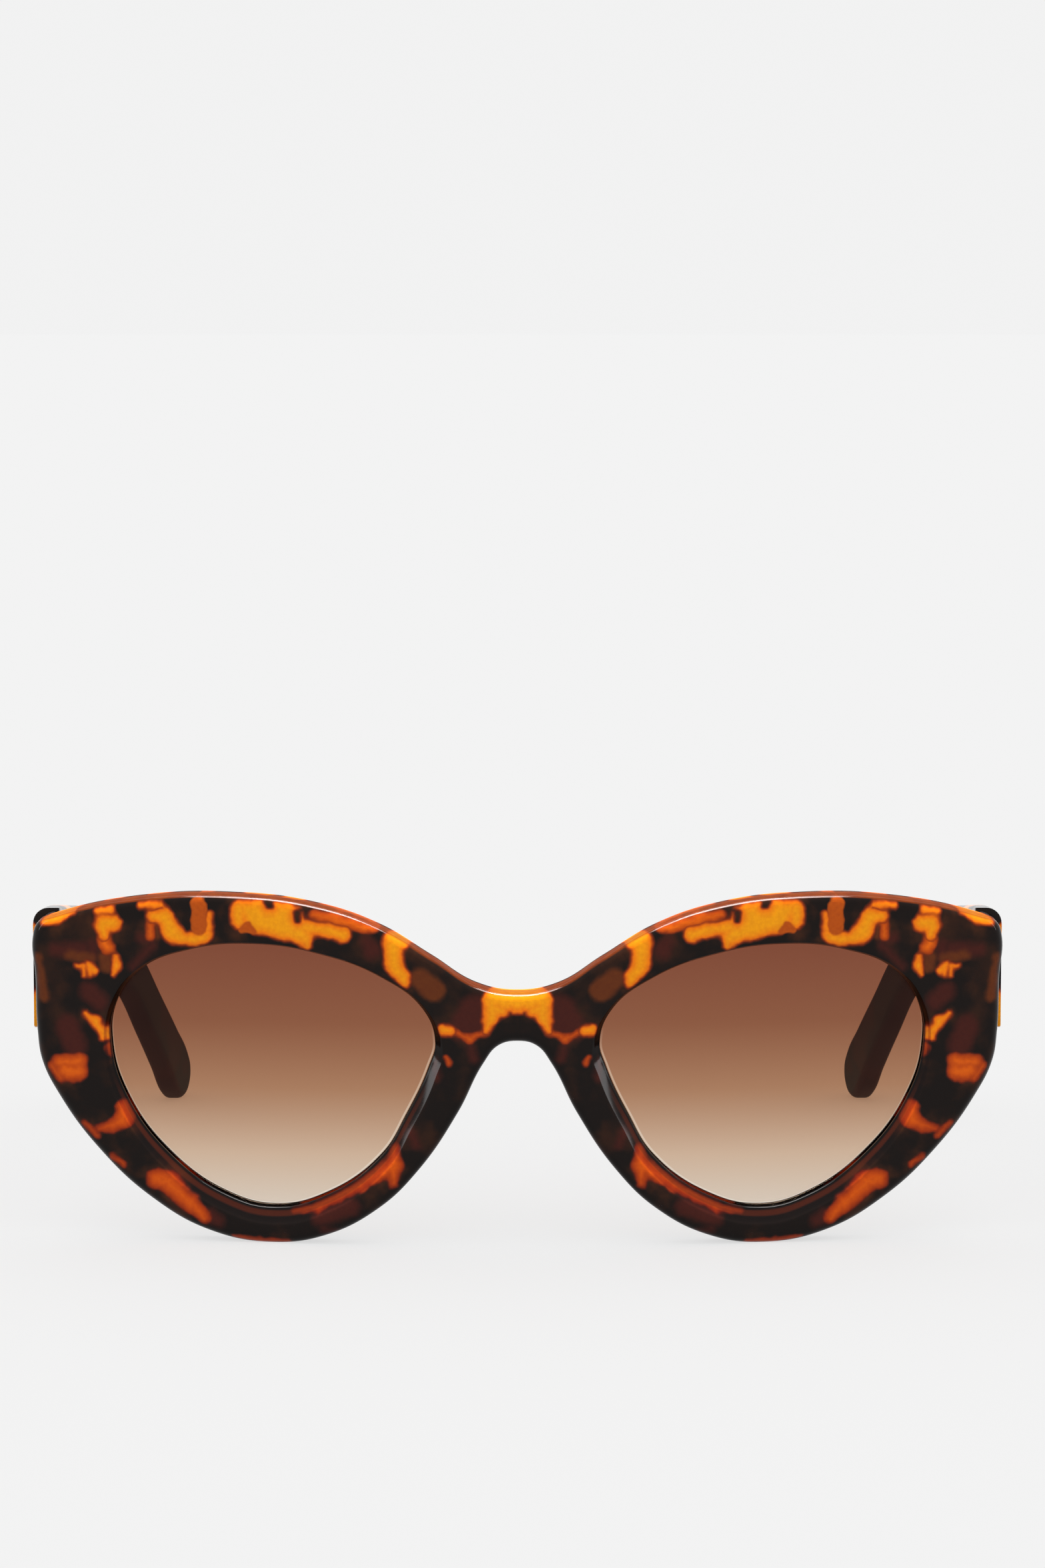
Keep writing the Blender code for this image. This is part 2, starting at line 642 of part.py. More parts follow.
def main():
    clear_scene()
    parts = new_collection("cat_eye_sunglasses")
    cutters = new_collection("cutters")
    materials = {name: new_material(name) for name in COLOURS}

    build_front(parts, cutters, materials["tortoise"])
    gold = materials["gold_metal"]
    for hand, side in (("right", 1), ("left", -1)):
        lens_plate(
            f"lens_{hand}", side, LENS_IN_GROOVE, LENS_FRONT, LENS_THICKNESS, parts,
            materials["lens_tint"],
        )
        build_temple(f"temple_{hand}", side, parts, cutters, materials["tortoise"])
        build_front_hinge(f"front_hinge_{hand}", side, parts, cutters, gold)
        build_temple_hinge(f"temple_hinge_{hand}", side, parts, cutters, gold)
        build_screw(f"hinge_screw_{hand}", side, parts, cutters, materials["steel"])
        for level, at in zip(("lower", "upper"), front_rivet_points()):
            build_rivet(f"front_rivet_{level}_{hand}", side, at, (0, -1, 0), parts, gold)
        for place_name, at in zip(("front", "rear"), temple_rivet_points()):
            build_rivet(f"temple_rivet_{place_name}_{hand}", side, at, (1, 0, 0), parts, gold)


main()
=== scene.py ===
import math

import bmesh
import bpy
import numpy as np
from mathutils import Euler, Matrix, Vector
from mathutils.geometry import delaunay_2d_cdt


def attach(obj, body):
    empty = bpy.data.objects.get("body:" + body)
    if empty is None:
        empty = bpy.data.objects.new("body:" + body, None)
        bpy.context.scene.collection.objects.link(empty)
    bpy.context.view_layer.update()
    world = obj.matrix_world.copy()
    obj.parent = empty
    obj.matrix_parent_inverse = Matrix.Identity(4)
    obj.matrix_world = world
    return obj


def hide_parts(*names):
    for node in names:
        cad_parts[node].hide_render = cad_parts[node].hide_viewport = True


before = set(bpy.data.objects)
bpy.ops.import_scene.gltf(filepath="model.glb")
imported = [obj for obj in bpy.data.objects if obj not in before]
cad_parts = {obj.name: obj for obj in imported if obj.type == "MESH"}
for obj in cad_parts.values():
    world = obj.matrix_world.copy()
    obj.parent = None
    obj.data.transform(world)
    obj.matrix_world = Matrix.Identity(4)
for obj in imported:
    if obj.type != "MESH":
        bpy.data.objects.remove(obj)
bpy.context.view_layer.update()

MM = 0.001
HANDS = (("right", 1), ("left", -1))

# ---- Driving dimensions
ORIGIN_Y = 70.1
FRONT_DEPTH = 5.0
FRONT_BEND_RADIUS = 280.0
TOUCH_GAP = 0.3
FIT_GAP = 0.12  # round a hinge leaf in its pocket, and inside a rivet's hole
OVERCUT = 1.0  # how far a cutter runs past the face that it opens

FRONT_EDGE = 1.4  # radius of the front's outer edge, in front
BACK_EDGE = 1.0  # and behind
OUTLINE_SPACING = 0.6  # between points round a moulded outline
FACE_SPACING = 1.2  # between points across a moulded face
SHARP_ANGLE = 35.0  # edges sharper than this show as a line

LENS_FRONT = 1.9
LENS_THICKNESS = 1.8
LENS_IN_GROOVE = 0.7
GROOVE_DEPTH = 1.1
LIP_GAP = 0.15  # between the lens and the lips of its groove
SLOPE_DEPTH = 1.2
SLOPE_LEAST = 0.3  # its width above the lens
SLOPE_MOST = 2.3  # and below

HINGE_X, HINGE_Y, HINGE_Z = 69.2, 18.15, 38.4
KNUCKLE_RADIUS = 1.6
KNUCKLE_HEIGHT = 1.2
KNUCKLE_SPACE = 0.15
WEB_INSET = 0.1
FRONT_KNUCKLES = (-2, 0, 2)
TEMPLE_KNUCKLES = (-1, 1)
BORE_RADIUS = 0.75
SCREW_RADIUS = 0.67
SCREW_HEAD_RADIUS = 1.25
SCREW_HEAD_HEIGHT = 0.7
SCREW_SLOT_WIDTH = 0.32
SCREW_POINT = 0.3
LEAF_THICKNESS = 1.2
LEAF_HALF_HEIGHT = 3.1
FRONT_LEAF_X = (66.4, 71.0)
FRONT_LEAF_Y = 14.3
TEMPLE_LEAF_Y = (20.0, 28.6)
TEMPLE_LEAF_X = 70.3
TEMPLE_LEAF_HALF_HEIGHT = 2.5
RIVET_RADIUS = 0.5
RIVET_HEAD_RADIUS = 0.75
RIVET_HEAD_HEIGHT = 0.4
RIVET_LENGTH = 2.4
FRONT_RIVET_X = 67.45
FRONT_RIVET_Z = (36.5, 40.3)
TEMPLE_RIVET_Y = (23.2, 26.6)
FRONT_WEB_X = (68.4, 70.4)
FRONT_WEB_Y = (14.9, 17.75)
TEMPLE_WEB_X = (68.3, 70.7)
TEMPLE_WEB_Y = (18.55, 20.7)
TURNED_SIDES = 48  # round the knuckles, bores and screws
RIVET_SIDES = 32

BUTT_Y = 18.0
END_PIECE_ROOT_Y = 11.5
END_PIECE_X = (71.2, 74.0)
END_PIECE_Z = (31.2, 49.2)
END_PIECE_CORNER = 2.4
BOSS_X = (64.2, 71.6)
BOSS_ROOT_Y = 10.5
BOSS_BACK_Y = 14.9
BOSS_HALF_HEIGHT = 4.4

TEMPLE_OUTER_X = 75.2
TEMPLE_THICKNESS = 4.1
TEMPLE_TIP_THICKNESS = 3.8
TEMPLE_THIN_FROM = 35.0
TEMPLE_THIN_TO = 100.0
TEMPLE_BEND_FROM = 34.1
TEMPLE_BEND = 0.00107
TEMPLE_EDGE = 1.35
TEMPLE_CORNER = 2.4  # radius of its upper outer edge where it meets the end piece
LENS_MIDDLE = (38.0, 27.0)

NOSE_PAD_AT = (12.1, 7.0, 20.5)
NOSE_PAD_RADII = (2.2, 4.6, 6.5)
NOSE_PAD_LEAN = -27.0
NOSE_PAD_SPLAY = 24.0

# Outline of the front's right half, from the top of the bridge round to the nose arch: x, z.
FRONT_OUTLINE = [
    (0.0, 38.95), (6.2, 40.1), (13.0, 44.25), (21.0, 49.0), (31.0, 52.25), (43.5, 53.55),
    (57.0, 52.85), (70.9, 49.7), (73.6, 48.5), (74.5, 46.3), (74.15, 40.0), (73.9, 31.5),
    (73.2, 27.0), (70.6, 21.85), (64.4, 13.7), (56.1, 6.3), (47.0, 1.5), (37.4, -0.03),
    (29.4, 1.2), (21.2, 5.5), (15.1, 11.45), (9.0, 20.5), (5.1, 28.1), (2.9, 30.75),
    (0.0, 31.45),
]
# Outline of the right lens opening: x, z.
LENS_OUTLINE = [
    (12.5, 31.0), (14.2, 36.0), (20.6, 41.0), (30.5, 44.6), (40.2, 45.9), (50.0, 44.85),
    (57.8, 41.5), (61.6, 36.2), (62.3, 30.5), (60.0, 22.2), (53.1, 13.0), (44.2, 7.0),
    (37.1, 5.4), (29.8, 7.1), (20.8, 13.5), (16.95, 19.8), (13.5, 27.2),
]
# Middle line of the temple from ahead of its butt face to the tip: y, z and its height there.
TEMPLE_PATH = [
    (0.0, 40.4, 19.2), (15.0, 40.35, 19.0), (45.0, 38.9, 15.4), (75.0, 36.2, 11.4),
    (94.0, 32.4, 9.0), (107.0, 26.2, 8.4), (119.0, 17.8, 8.6), (129.0, 10.2, 9.0),
    (135.6, 4.6, 9.2),
]

# ---- Tortoise pattern of the front
# Each blotch is made of strokes with round ends: x from the middle, z and radius at one end,
# then the same at the other end. Colours are red, green and blue, from 0 to 1.
AMBER = [
    # The upper outer corner and the marks under it
    (72.6, 48.8, 0.7, 70.4, 49.5, 0.9), (70.4, 49.5, 0.9, 68.3, 50.5, 0.5),
    (64.1, 50.5, 0.45, 62.1, 50.8, 0.5), (63.5, 48.7, 1.15, 61.75, 48.8, 1.15),
    (63.4, 48.3, 1.15, 63.2, 47.0, 0.9), (61.45, 43.6, 0.3, 61.3, 42.3, 0.6),
    (61.3, 42.3, 0.6, 61.7, 40.8, 0.2), (65.5, 42.3, 0.5, 64.75, 41.4, 0.6),
    (65.4, 41.5, 0.4, 65.5, 40.8, 0.2), (67.6, 42.0, 0.22, 66.6, 41.9, 0.28),
    (66.4, 41.8, 0.28, 66.35, 40.5, 0.22),
    # The hooked mark above the outer part of the lens
    (57.5, 51.6, 0.35, 54.3, 51.7, 0.5), (55.6, 50.0, 0.9, 53.6, 50.2, 1.15),
    (53.7, 49.8, 1.3, 52.7, 47.9, 1.5), (52.6, 47.2, 1.2, 49.2, 46.6, 0.95),
    (49.2, 46.6, 0.95, 47.5, 47.0, 0.85), (47.0, 47.4, 0.5, 46.85, 50.6, 0.3),
    # The long mark above the middle of the lens
    (42.3, 51.3, 1.25, 42.4, 49.5, 1.1), (41.2, 51.5, 1.2, 39.4, 50.2, 2.3),
    (39.2, 50.2, 2.4, 35.2, 49.6, 2.8), (34.5, 48.9, 2.1, 32.6, 47.4, 1.4),
    (32.1, 46.9, 1.0, 32.0, 46.2, 0.75), (32.2, 48.7, 1.05, 28.6, 48.3, 1.0),
    (28.6, 48.3, 1.0, 26.6, 47.8, 1.2),
    # The shoulder and the bridge
    (19.1, 47.3, 1.1, 17.2, 46.5, 0.8), (18.8, 46.2, 1.5, 18.8, 43.6, 1.3),
    (18.6, 43.0, 1.3, 17.4, 41.4, 1.05), (17.3, 41.2, 1.0, 17.0, 40.5, 0.6),
    (3.8, 38.0, 1.35, 0.0, 37.9, 2.0), (3.9, 37.6, 1.35, 4.0, 35.2, 1.1),
    (4.0, 35.2, 1.05, 4.75, 33.1, 0.4), (3.2, 36.4, 1.1, 2.3, 36.3, 0.9),
    (11.3, 33.3, 0.8, 10.1, 33.2, 0.6),
    # The slanting mark beside the lens
    (66.2, 34.6, 0.3, 64.6, 33.5, 0.6), (64.6, 33.5, 0.65, 63.2, 31.3, 0.55),
    (63.2, 31.3, 0.55, 62.7, 30.5, 0.25),
]
ORANGE = [
    (63.1, 45.8, 0.95, 62.6, 45.0, 0.95), (56.0, 48.6, 0.45, 56.0, 46.9, 0.5),
    (31.0, 50.7, 0.45, 27.6, 49.9, 0.65), (27.6, 49.9, 0.7, 23.2, 48.8, 0.6),
    (23.2, 48.8, 0.6, 21.6, 48.7, 0.3), (9.1, 32.9, 0.25, 7.4, 31.9, 0.4),
    (7.4, 31.8, 0.42, 5.0, 32.9, 0.25), (10.85, 28.9, 0.22, 10.4, 28.3, 0.28),
    # Down the outer side of the lens
    (62.7, 29.3, 0.35, 62.3, 28.1, 0.25), (70.4, 27.0, 0.9, 67.2, 27.3, 1.1),
    (69.4, 25.6, 1.45, 67.4, 25.7, 1.35), (71.6, 26.4, 0.5, 70.2, 24.4, 0.4),
    (60.8, 20.5, 0.6, 60.4, 18.8, 1.1), (60.6, 18.3, 1.25, 62.2, 17.4, 0.75),
    (62.2, 17.4, 0.75, 64.3, 16.9, 0.3), (66.6, 17.7, 0.3, 64.6, 15.7, 0.35),
    (62.2, 12.6, 0.3, 60.6, 11.5, 0.4), (55.4, 9.4, 1.4, 53.4, 9.0, 1.35),
    (53.2, 8.6, 1.35, 50.3, 6.0, 1.2), (50.3, 6.0, 1.15, 47.9, 3.8, 0.9),
    # Under the lens and up its nose side
    (43.5, 0.8, 0.2, 39.5, 0.2, 0.35), (39.5, 0.2, 0.35, 35.2, 0.2, 0.2),
    (34.5, 4.8, 0.25, 30.5, 5.6, 0.45), (30.5, 5.6, 0.5, 24.0, 9.1, 0.65),
    (24.0, 9.1, 0.65, 19.3, 12.2, 1.1), (18.9, 14.6, 0.7, 18.8, 12.4, 1.2),
    (18.9, 12.2, 1.15, 18.9, 9.6, 0.55),
]
TOFFEE = [
    (48.5, 51.9, 1.3, 48.4, 48.4, 1.25), (41.9, 48.3, 0.55, 41.0, 48.9, 0.7),
    (41.0, 48.6, 0.9, 40.2, 48.2, 0.6),
]
BROWN = [
    (63.1, 43.3, 0.95, 62.9, 42.0, 0.85), (55.0, 48.3, 0.4, 54.9, 47.0, 0.35),
    (14.8, 41.1, 1.5, 12.7, 39.4, 1.7), (73.6, 43.0, 0.6, 72.8, 37.0, 0.8),
    (68.6, 43.6, 0.7, 65.4, 43.2, 0.8),
]
DARK = [
    (51.8, 52.0, 1.6, 50.3, 48.35, 0.75), (37.8, 52.7, 1.1, 37.6, 52.1, 0.8),
    (33.3, 50.9, 0.75, 33.4, 49.9, 0.6), (33.0, 51.4, 0.5, 30.9, 51.3, 0.3),
    (1.05, 35.2, 0.55, 1.05, 36.0, 0.3), (56.2, 50.8, 0.12, 54.0, 51.35, 0.12),
]
MAROON = [
    (69.0, 32.5, 1.7, 68.0, 29.8, 1.7), (71.0, 44.4, 0.8, 66.6, 44.4, 1.2),
    (65.0, 45.4, 0.7, 65.0, 43.6, 0.7), (65.5, 38.0, 1.4, 64.0, 36.6, 1.2),
    (58.8, 42.1, 0.4, 55.6, 45.6, 0.5), (57.3, 46.6, 0.7, 55.8, 46.1, 0.5),
    (7.0, 36.6, 1.7, 8.0, 33.7, 2.1), (6.2, 38.0, 0.6, 6.0, 34.0, 1.2),
    (7.2, 31.0, 0.4, 6.6, 29.0, 0.5), (22.8, 46.8, 0.8, 22.0, 45.4, 1.2),
    (30.0, 4.2, 1.2, 25.5, 5.8, 1.3), (29.5, 2.3, 0.5, 28.0, 1.9, 0.4),
    (47.2, 3.8, 1.1, 45.8, 3.2, 0.8), (12.7, 28.0, 0.4, 12.3, 26.0, 0.4),
    (16.2, 17.4, 0.5, 15.4, 15.6, 0.5),
]

NEAR_BLACK = (0.0032, 0.0013, 0.0008)
HAZE_COLOUR = (0.04, 0.011, 0.003)
MAROON_COLOUR = (0.032, 0.0045, 0.0024)
BROWN_COLOUR = (0.069, 0.0145, 0.002)
TOFFEE_COLOUR = (0.27, 0.044, 0.001)
# Painted glow colours for the upper edge, standing in for light coming through it
RIM_PAINTED_GLOW_COLOUR = (0.056, 0.006, 0.0002)
RIM_PAINTED_GLOW_BRIGHT_COLOUR = (0.135, 0.025, 0.0003)
# Painted reflection: a brown line along the slope round each lens opening
SLOPE_PAINTED_REFLECTION_COLOUR = (0.042, 0.0055, 0.001)
TIP_COLOUR = (0.002, 0.001, 0.0007)
# Painted glow along the thin edges of the temple over the ear
TIP_EDGE_PAINTED_GLOW_COLOUR = (0.06, 0.0065, 0.002)
LOW_WARMTH = (0.94, 0.86, 1.0)  # the orange blotches are redder low down
HIGH_WARMTH = (1.22, 1.5, 1.0)
DARK_GRAIN = (0.92, 0.87, 0.9)
LIGHT_GRAIN = (1.05, 1.07, 1.0)
# Painted shade down the slope round each lens opening, darkest at the lip
SLOPE_PAINTED_SHADE_STOPS = [
    (0.06, (1.0, 1.0, 1.0)), (0.14, (0.68, 0.5, 0.5)), (0.28, (0.64, 0.45, 0.45)),
    (0.34, (0.95, 0.88, 0.88)), (0.46, (0.9, 0.8, 0.8)), (0.54, (0.12, 0.1, 0.1)),
]
AMBER_STOPS = [
    (0.0, (0.52, 0.195, 0.0005)), (0.38, (0.52, 0.16, 0.0005)),
    (0.6, (0.51, 0.105, 0.0005)), (0.72, (0.26, 0.036, 0.001)),
    (0.83, (0.044, 0.0053, 0.0018)), (0.96, NEAR_BLACK),
]
ORANGE_STOPS = [
    (0.0, (0.45, 0.076, 0.0005)), (0.38, (0.375, 0.052, 0.0005)),
    (0.64, (0.225, 0.023, 0.0005)), (0.78, (0.08, 0.0075, 0.001)),
    (0.9, (0.022, 0.003, 0.0012)), (1.0, NEAR_BLACK),
]
BLOTCH_SLANT = (0.4, -0.3)  # how far a blotch moves in x and z for each millimetre of depth
WOBBLE = 0.4  # of the blotches' edges, either way
MOTTLE_SHIFT = (0.0, 28.0, 0.0)  # brings an amber patch beside the hinges
MOTTLE_SCALE = 0.085  # patches for each millimetre
MOTTLE_SPREAD = 22.0  # millimetres from a patch's edge for the whole range of the noise
MOTTLE_EDGE = 12.3
POLISHED = 0.08  # roughness
WORN = 0.5
AS_CUT = 0.98
SPECULAR_LEVEL = 0.14

# ---- Lens tint: the share of red, green and blue that passes, at heights up the lens
LENS_LOW_Z = 5.4
LENS_HIGH_Z = 45.9
LENS_TINT = [
    (0.0, (0.8, 0.69, 0.58)), (0.2, (0.69, 0.5, 0.36)), (0.45, (0.44, 0.225, 0.125)),
    (0.7, (0.29, 0.11, 0.056)), (1.0, (0.235, 0.072, 0.038)),
]
# Painted light line: the near-clear tint along the lens's lower edge
PAINTED_LIGHT_LINE_TINT = (0.97, 0.95, 0.9)

# ---- Camera and light, with places and sizes in metres
CAMERA_AT = (0.0, -0.7701, 0.1415)
CAMERA_ANGLES = (90.0 - 5.767, 0.0, -0.063)  # degrees
CAMERA_LENS = 107.14  # millimetres
PALE = 0.885  # the floor and the horizon as the camera sees them
FLOOR_COLOUR = (0.24, 0.24, 0.24)
FLOOR_GLOW = 0.645  # light from under the floor, which keeps its shadows faint
OVERHEAD = 1.1  # the sky straight above
SKY_BAND = (0.15, 0.8)  # heights between which it goes from pale to overhead
# Each softbox's name, place, size and watts
SOFTBOXES = [
    ("softbox_overhead", (0.0, -0.25, 0.9), (0.7, 0.28), 22.0),
    ("softbox_right", (0.9, -0.28, 0.42), (0.1, 0.6), 1.5),
    ("softbox_left", (-0.9, -0.28, 0.42), (0.1, 0.6), 1.5),
]
# A strip that only shows as the bright line along polished edges
HIGHLIGHT_STRIP = ("highlight_strip", (0.0, -0.25, 0.95), (0.5, 0.28), 13.0)
AIM = (0.0, -0.05, 0.03)


# ---- Meshes
def edit(mesh, change):
    """Run change(bm) on a mesh."""
    bm = bmesh.new()
    bm.from_mesh(mesh)
    change(bm)
    bm.to_mesh(mesh)
    bm.free()
    return mesh


def outward(bm):
    bmesh.ops.recalc_face_normals(bm, faces=bm.faces)


def place(points, side):
    """Points in millimetres, as an array, to metres in the frame; side -1 mirrors them."""
    return (points - (0.0, ORIGIN_Y, 0.0)) * (side * MM, MM, MM)


def add_object(name, mesh):
    ob = bpy.data.objects.new(name, mesh)
    bpy.context.scene.collection.objects.link(ob)
    return ob


def move_mesh(mesh, side):
    """Place a mesh whose points are in millimetres."""
    points = np.array([v.co for v in mesh.vertices])
    mesh.vertices.foreach_set("co", place(points, side).astype(np.float32).ravel())
    return edit(mesh, outward)


def evaluated(ob):
    graph = bpy.context.evaluated_depsgraph_get()
    return bpy.data.meshes.new_from_object(ob.evaluated_get(graph))


def combine(ob, tools, operation):
    """Join the tools to an object, or cut them out of it, and remove them."""
    for tool in tools:
        modifier = ob.modifiers.new(tool.name, "BOOLEAN")
        modifier.operation = operation
        modifier.solver = "EXACT"
        modifier.object = tool
    mesh = evaluated(ob)
    ob.modifiers.clear()
    ob.data = mesh
    for tool in tools:
        bpy.data.objects.remove(tool, do_unlink=True)


def show(ob, material, slot, body, *nodes):
    """Finish a piece, with its material and body, in place of the CAD nodes it stands for; slot is not
    used.
    """
    ob.data.shade_smooth()
    ob.data.set_sharp_from_angle(angle=math.radians(SHARP_ANGLE))
    ob.data.materials.clear()
    ob.data.materials.append(material)
    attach(ob, body)
    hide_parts(*nodes)
    return ob


def solid(name, side, change):
    """A new object whose mesh, in millimetres, is made by change(bm)."""
    mesh = edit(bpy.data.meshes.new(name), change)
    return add_object(name, move_mesh(mesh, side))


def rounded_box(name, low, high, side, radius=0.0):
    """A box between two corners in millimetres with rounded edges."""
    size = Vector(high) - Vector(low)
    middle = (Vector(high) + Vector(low)) / 2

    def change(bm):
        matrix = Matrix.Translation(middle) @ Matrix.Diagonal((*size, 1.0))
        bmesh.ops.create_cube(bm, size=1.0, matrix=matrix)
        if radius:
            bmesh.ops.bevel(bm, geom=bm.edges[:], offset=radius, segments=4, profile=0.5, affect="EDGES")
    return solid(name, side, change)


def cylinder(name, radius, start, end, side, segments=TURNED_SIDES, edge=0.0):
    """A cylinder from start to end, both in millimetres, with rounded rims."""
    start, end = Vector(start), Vector(end)
    run = end - start
    turn = run.to_track_quat("Z", "Y").to_matrix().to_4x4()
    matrix = Matrix.Translation((start + end) / 2) @ turn

    def change(bm):
        bmesh.ops.create_cone(
            bm, cap_ends=True, segments=segments, radius1=radius, radius2=radius,
            depth=run.length, matrix=matrix,
        )
        if edge:
            rims = [e for e in bm.edges if any(len(f.verts) > 4 for f in e.link_faces)]
            bmesh.ops.bevel(bm, geom=rims, offset=edge, segments=3, profile=0.5, affect="EDGES")
    return solid(name, side, change)


def turned(name, profile, segments, matrix, side):
    """Turn a profile of (radius, height) points about Z and stand it up with a matrix."""
    mesh = bpy.data.meshes.new(name)
    edges = [(i, i + 1) for i in range(len(profile) - 1)]
    mesh.from_pydata([(r, 0.0, z) for r, z in profile], edges, [])
    holder = add_object(name, mesh)
    screw = holder.modifiers.new("turn", "SCREW")
    screw.steps = segments
    screw.render_steps = segments
    screw.use_merge_vertices = True
    screw.merge_threshold = 0.0001
    mesh = evaluated(holder)
    bpy.data.objects.remove(holder, do_unlink=True)
    mesh.transform(matrix)
    return add_object(name, move_mesh(mesh, side))


# ---- Moulded plates
def smooth_loop(anchors):
    """Evenly spaced points, anticlockwise, on a smooth closed curve through the anchors."""
    curve = bpy.data.curves.new("outline", "CURVE")
    curve.resolution_u = 24
    spline = curve.splines.new("BEZIER")
    spline.bezier_points.add(len(anchors) - 1)
    for anchor, (u, v) in zip(spline.bezier_points, anchors):
        anchor.co = (u, v, 0.0)
        anchor.handle_left_type = "AUTO"
        anchor.handle_right_type = "AUTO"
    spline.use_cyclic_u = True
    holder = add_object("outline", curve)
    line = np.array([v.co[:2] for v in evaluated(holder).vertices])
    bpy.data.objects.remove(holder, do_unlink=True)
    return even_loop(line, OUTLINE_SPACING)


def even_loop(line, spacing):
    """The same closed line, anticlockwise, with evenly spaced points."""
    closed = np.vstack([line, line[:1]])
    along = np.concatenate([[0.0], np.cumsum(np.linalg.norm(np.diff(closed, axis=0), axis=1))])
    count = round(along[-1] / spacing)
    stops = np.arange(count) * along[-1] / count
    even = np.column_stack([np.interp(stops, along, closed[:, i]) for i in (0, 1)])
    following = np.roll(even, -1, axis=0)
    area = (even[:, 0] * following[:, 1] - following[:, 0] * even[:, 1]).sum()
    return even if area > 0 else even[::-1]


def outward_of(loop):
    """Unit vectors out of what an anticlockwise loop encloses, one for each of its points."""
    along = np.roll(loop, -1, axis=0) - np.roll(loop, 1, axis=0)
    across = np.column_stack([along[:, 1], -along[:, 0]])
    return across / np.linalg.norm(across, axis=1)[:, None]


def ring(loop, offset, depth):
    """The loop moved outward by offset, at a depth: an array of (u, v, depth)."""
    offset = np.broadcast_to(offset, len(loop))[:, None]
    depth = np.broadcast_to(depth, len(loop))
    return np.column_stack([loop + outward_of(loop) * offset, depth])


def quarter(radius, steps):
    """(inset, depth) round a quarter circle, from a face to its side."""
    turns = np.linspace(0.0, math.pi / 2, steps + 1)
    return [(radius * (1.0 - math.sin(t)), radius * (1.0 - math.cos(t))) for t in turns]


def edge_rings(loop, thickness, front_radius, back_radius, steps=7):
    """Rings round the rounded outer edge of a plate, from its front face to its back face."""
    rings = [ring(loop, -inset, depth) for inset, depth in quarter(front_radius, steps)]
    back = reversed(quarter(back_radius, steps))
    return rings + [ring(loop, -inset, thickness - depth) for inset, depth in back]


def is_inside(points, loop):
    """Which points lie inside a closed loop."""
    start, end = loop, np.roll(loop, -1, axis=0)
    u, v = points[:, :1], points[:, 1:2]
    crosses = (start[:, 1] > v) != (end[:, 1] > v)
    rise = np.where(start[:, 1] == end[:, 1], 1.0, end[:, 1] - start[:, 1])
    at = start[:, 0] + (v - start[:, 1]) * (end[:, 0] - start[:, 0]) / rise
    return (crosses & (u < at)).sum(axis=1) % 2 == 1


def between(points, loops):
    """Which points lie inside the first loop and outside the others."""
    keep = is_inside(points, loops[0])
    for loop in loops[1:]:
        keep &= ~is_inside(points, loop)
    return keep


def lattice(loops, spacing):
    """A triangular lattice between the loops, clear of all of them."""
    low, high = loops[0].min(axis=0), loops[0].max(axis=0)
    rows = np.arange(low[1], high[1], spacing * math.sqrt(0.75))
    columns = np.arange(low[0], high[0], spacing)
    u, v = np.meshgrid(columns, rows)
    u = u + (np.arange(len(rows)) % 2)[:, None] * spacing / 2
    points = np.column_stack([u.ravel(), v.ravel()])
    points = points[between(points, loops)]
    border = np.vstack(loops)
    clear = [np.min(np.abs(border - p).sum(axis=1)) > 0.75 * spacing for p in points]
    return points[np.array(clear)]


def fill_face(loops, first_of, spacing):
    """Triangles between loops, the first round the others.

    first_of gives the mesh's index of each loop's first point. Returns the new inner points
    and the triangles, where indices from -1 down stand for the new points.
    """
    inner = lattice(loops, spacing)
    points = np.vstack(loops + [inner])
    names, edges, start = [], [], 0
    for loop, first in zip(loops, first_of):
        count = len(loop)
        names += list(range(first, first + count))
        edges += [(start + i, start + (i + 1) % count) for i in range(count)]
        start += count
    names += [-1 - i for i in range(len(inner))]
    _, _, faces, origin, _, _ = delaunay_2d_cdt([Vector(p) for p in points], edges, [], 0, 1e-6)
    faces = [[origin[i][0] for i in face] for face in faces]
    keep = between(points[np.array(faces)].mean(axis=1), loops)
    return inner, [[names[i] for i in face] for face, kept in zip(faces, keep) if kept]


def plate(name, borders, where, side, spacing=FACE_SPACING):
    """A closed plate from borders, each a list of rings from its front face to its back face.

    The first border is the outer one. where() turns (u, v, depth) points into millimetres.
    """
    points, faces, firsts = [], [], []
    total = 0
    for rings in borders:
        count = len(rings[0])
        firsts.append((total, total + (len(rings) - 1) * count))
        for r in range(len(rings) - 1):
            base = total + r * count
            for i in range(count):
                j = (i + 1) % count
                faces.append((base + i, base + j, base + count + j, base + count + i))
        points += rings
        total += len(rings) * count
    for end in (0, -1):
        loops = [rings[end][:, :2] for rings in borders]
        depth = borders[0][end][0, 2]
        inner, triangles = fill_face(loops, [first[end] for first in firsts], spacing)
        faces += [[total - 1 - i if i < 0 else i for i in triangle] for triangle in triangles]
        points.append(np.column_stack([inner, np.full(len(inner), depth)]))
        total += len(inner)
    mesh = bpy.data.meshes.new(name)
    placed = place(where(np.vstack(points)), side)
    mesh.from_pydata(placed.tolist(), [], faces)
    return add_object(name, edit(mesh, outward))


# ---- The front
def sag(x):
    """How far the bent front has gone back at x."""
    return FRONT_BEND_RADIUS - np.sqrt(FRONT_BEND_RADIUS ** 2 - x ** 2)


def on_front(points):
    """(x, z, depth) behind the front's bent face, to (x, y, z)."""
    x, z, depth = points.T
    return np.column_stack([x, depth + sag(x), z])


def behind(points):
    """(x, z, y) to (x, y, z), for shapes that stand straight behind the front."""
    return points[:, [0, 2, 1]]


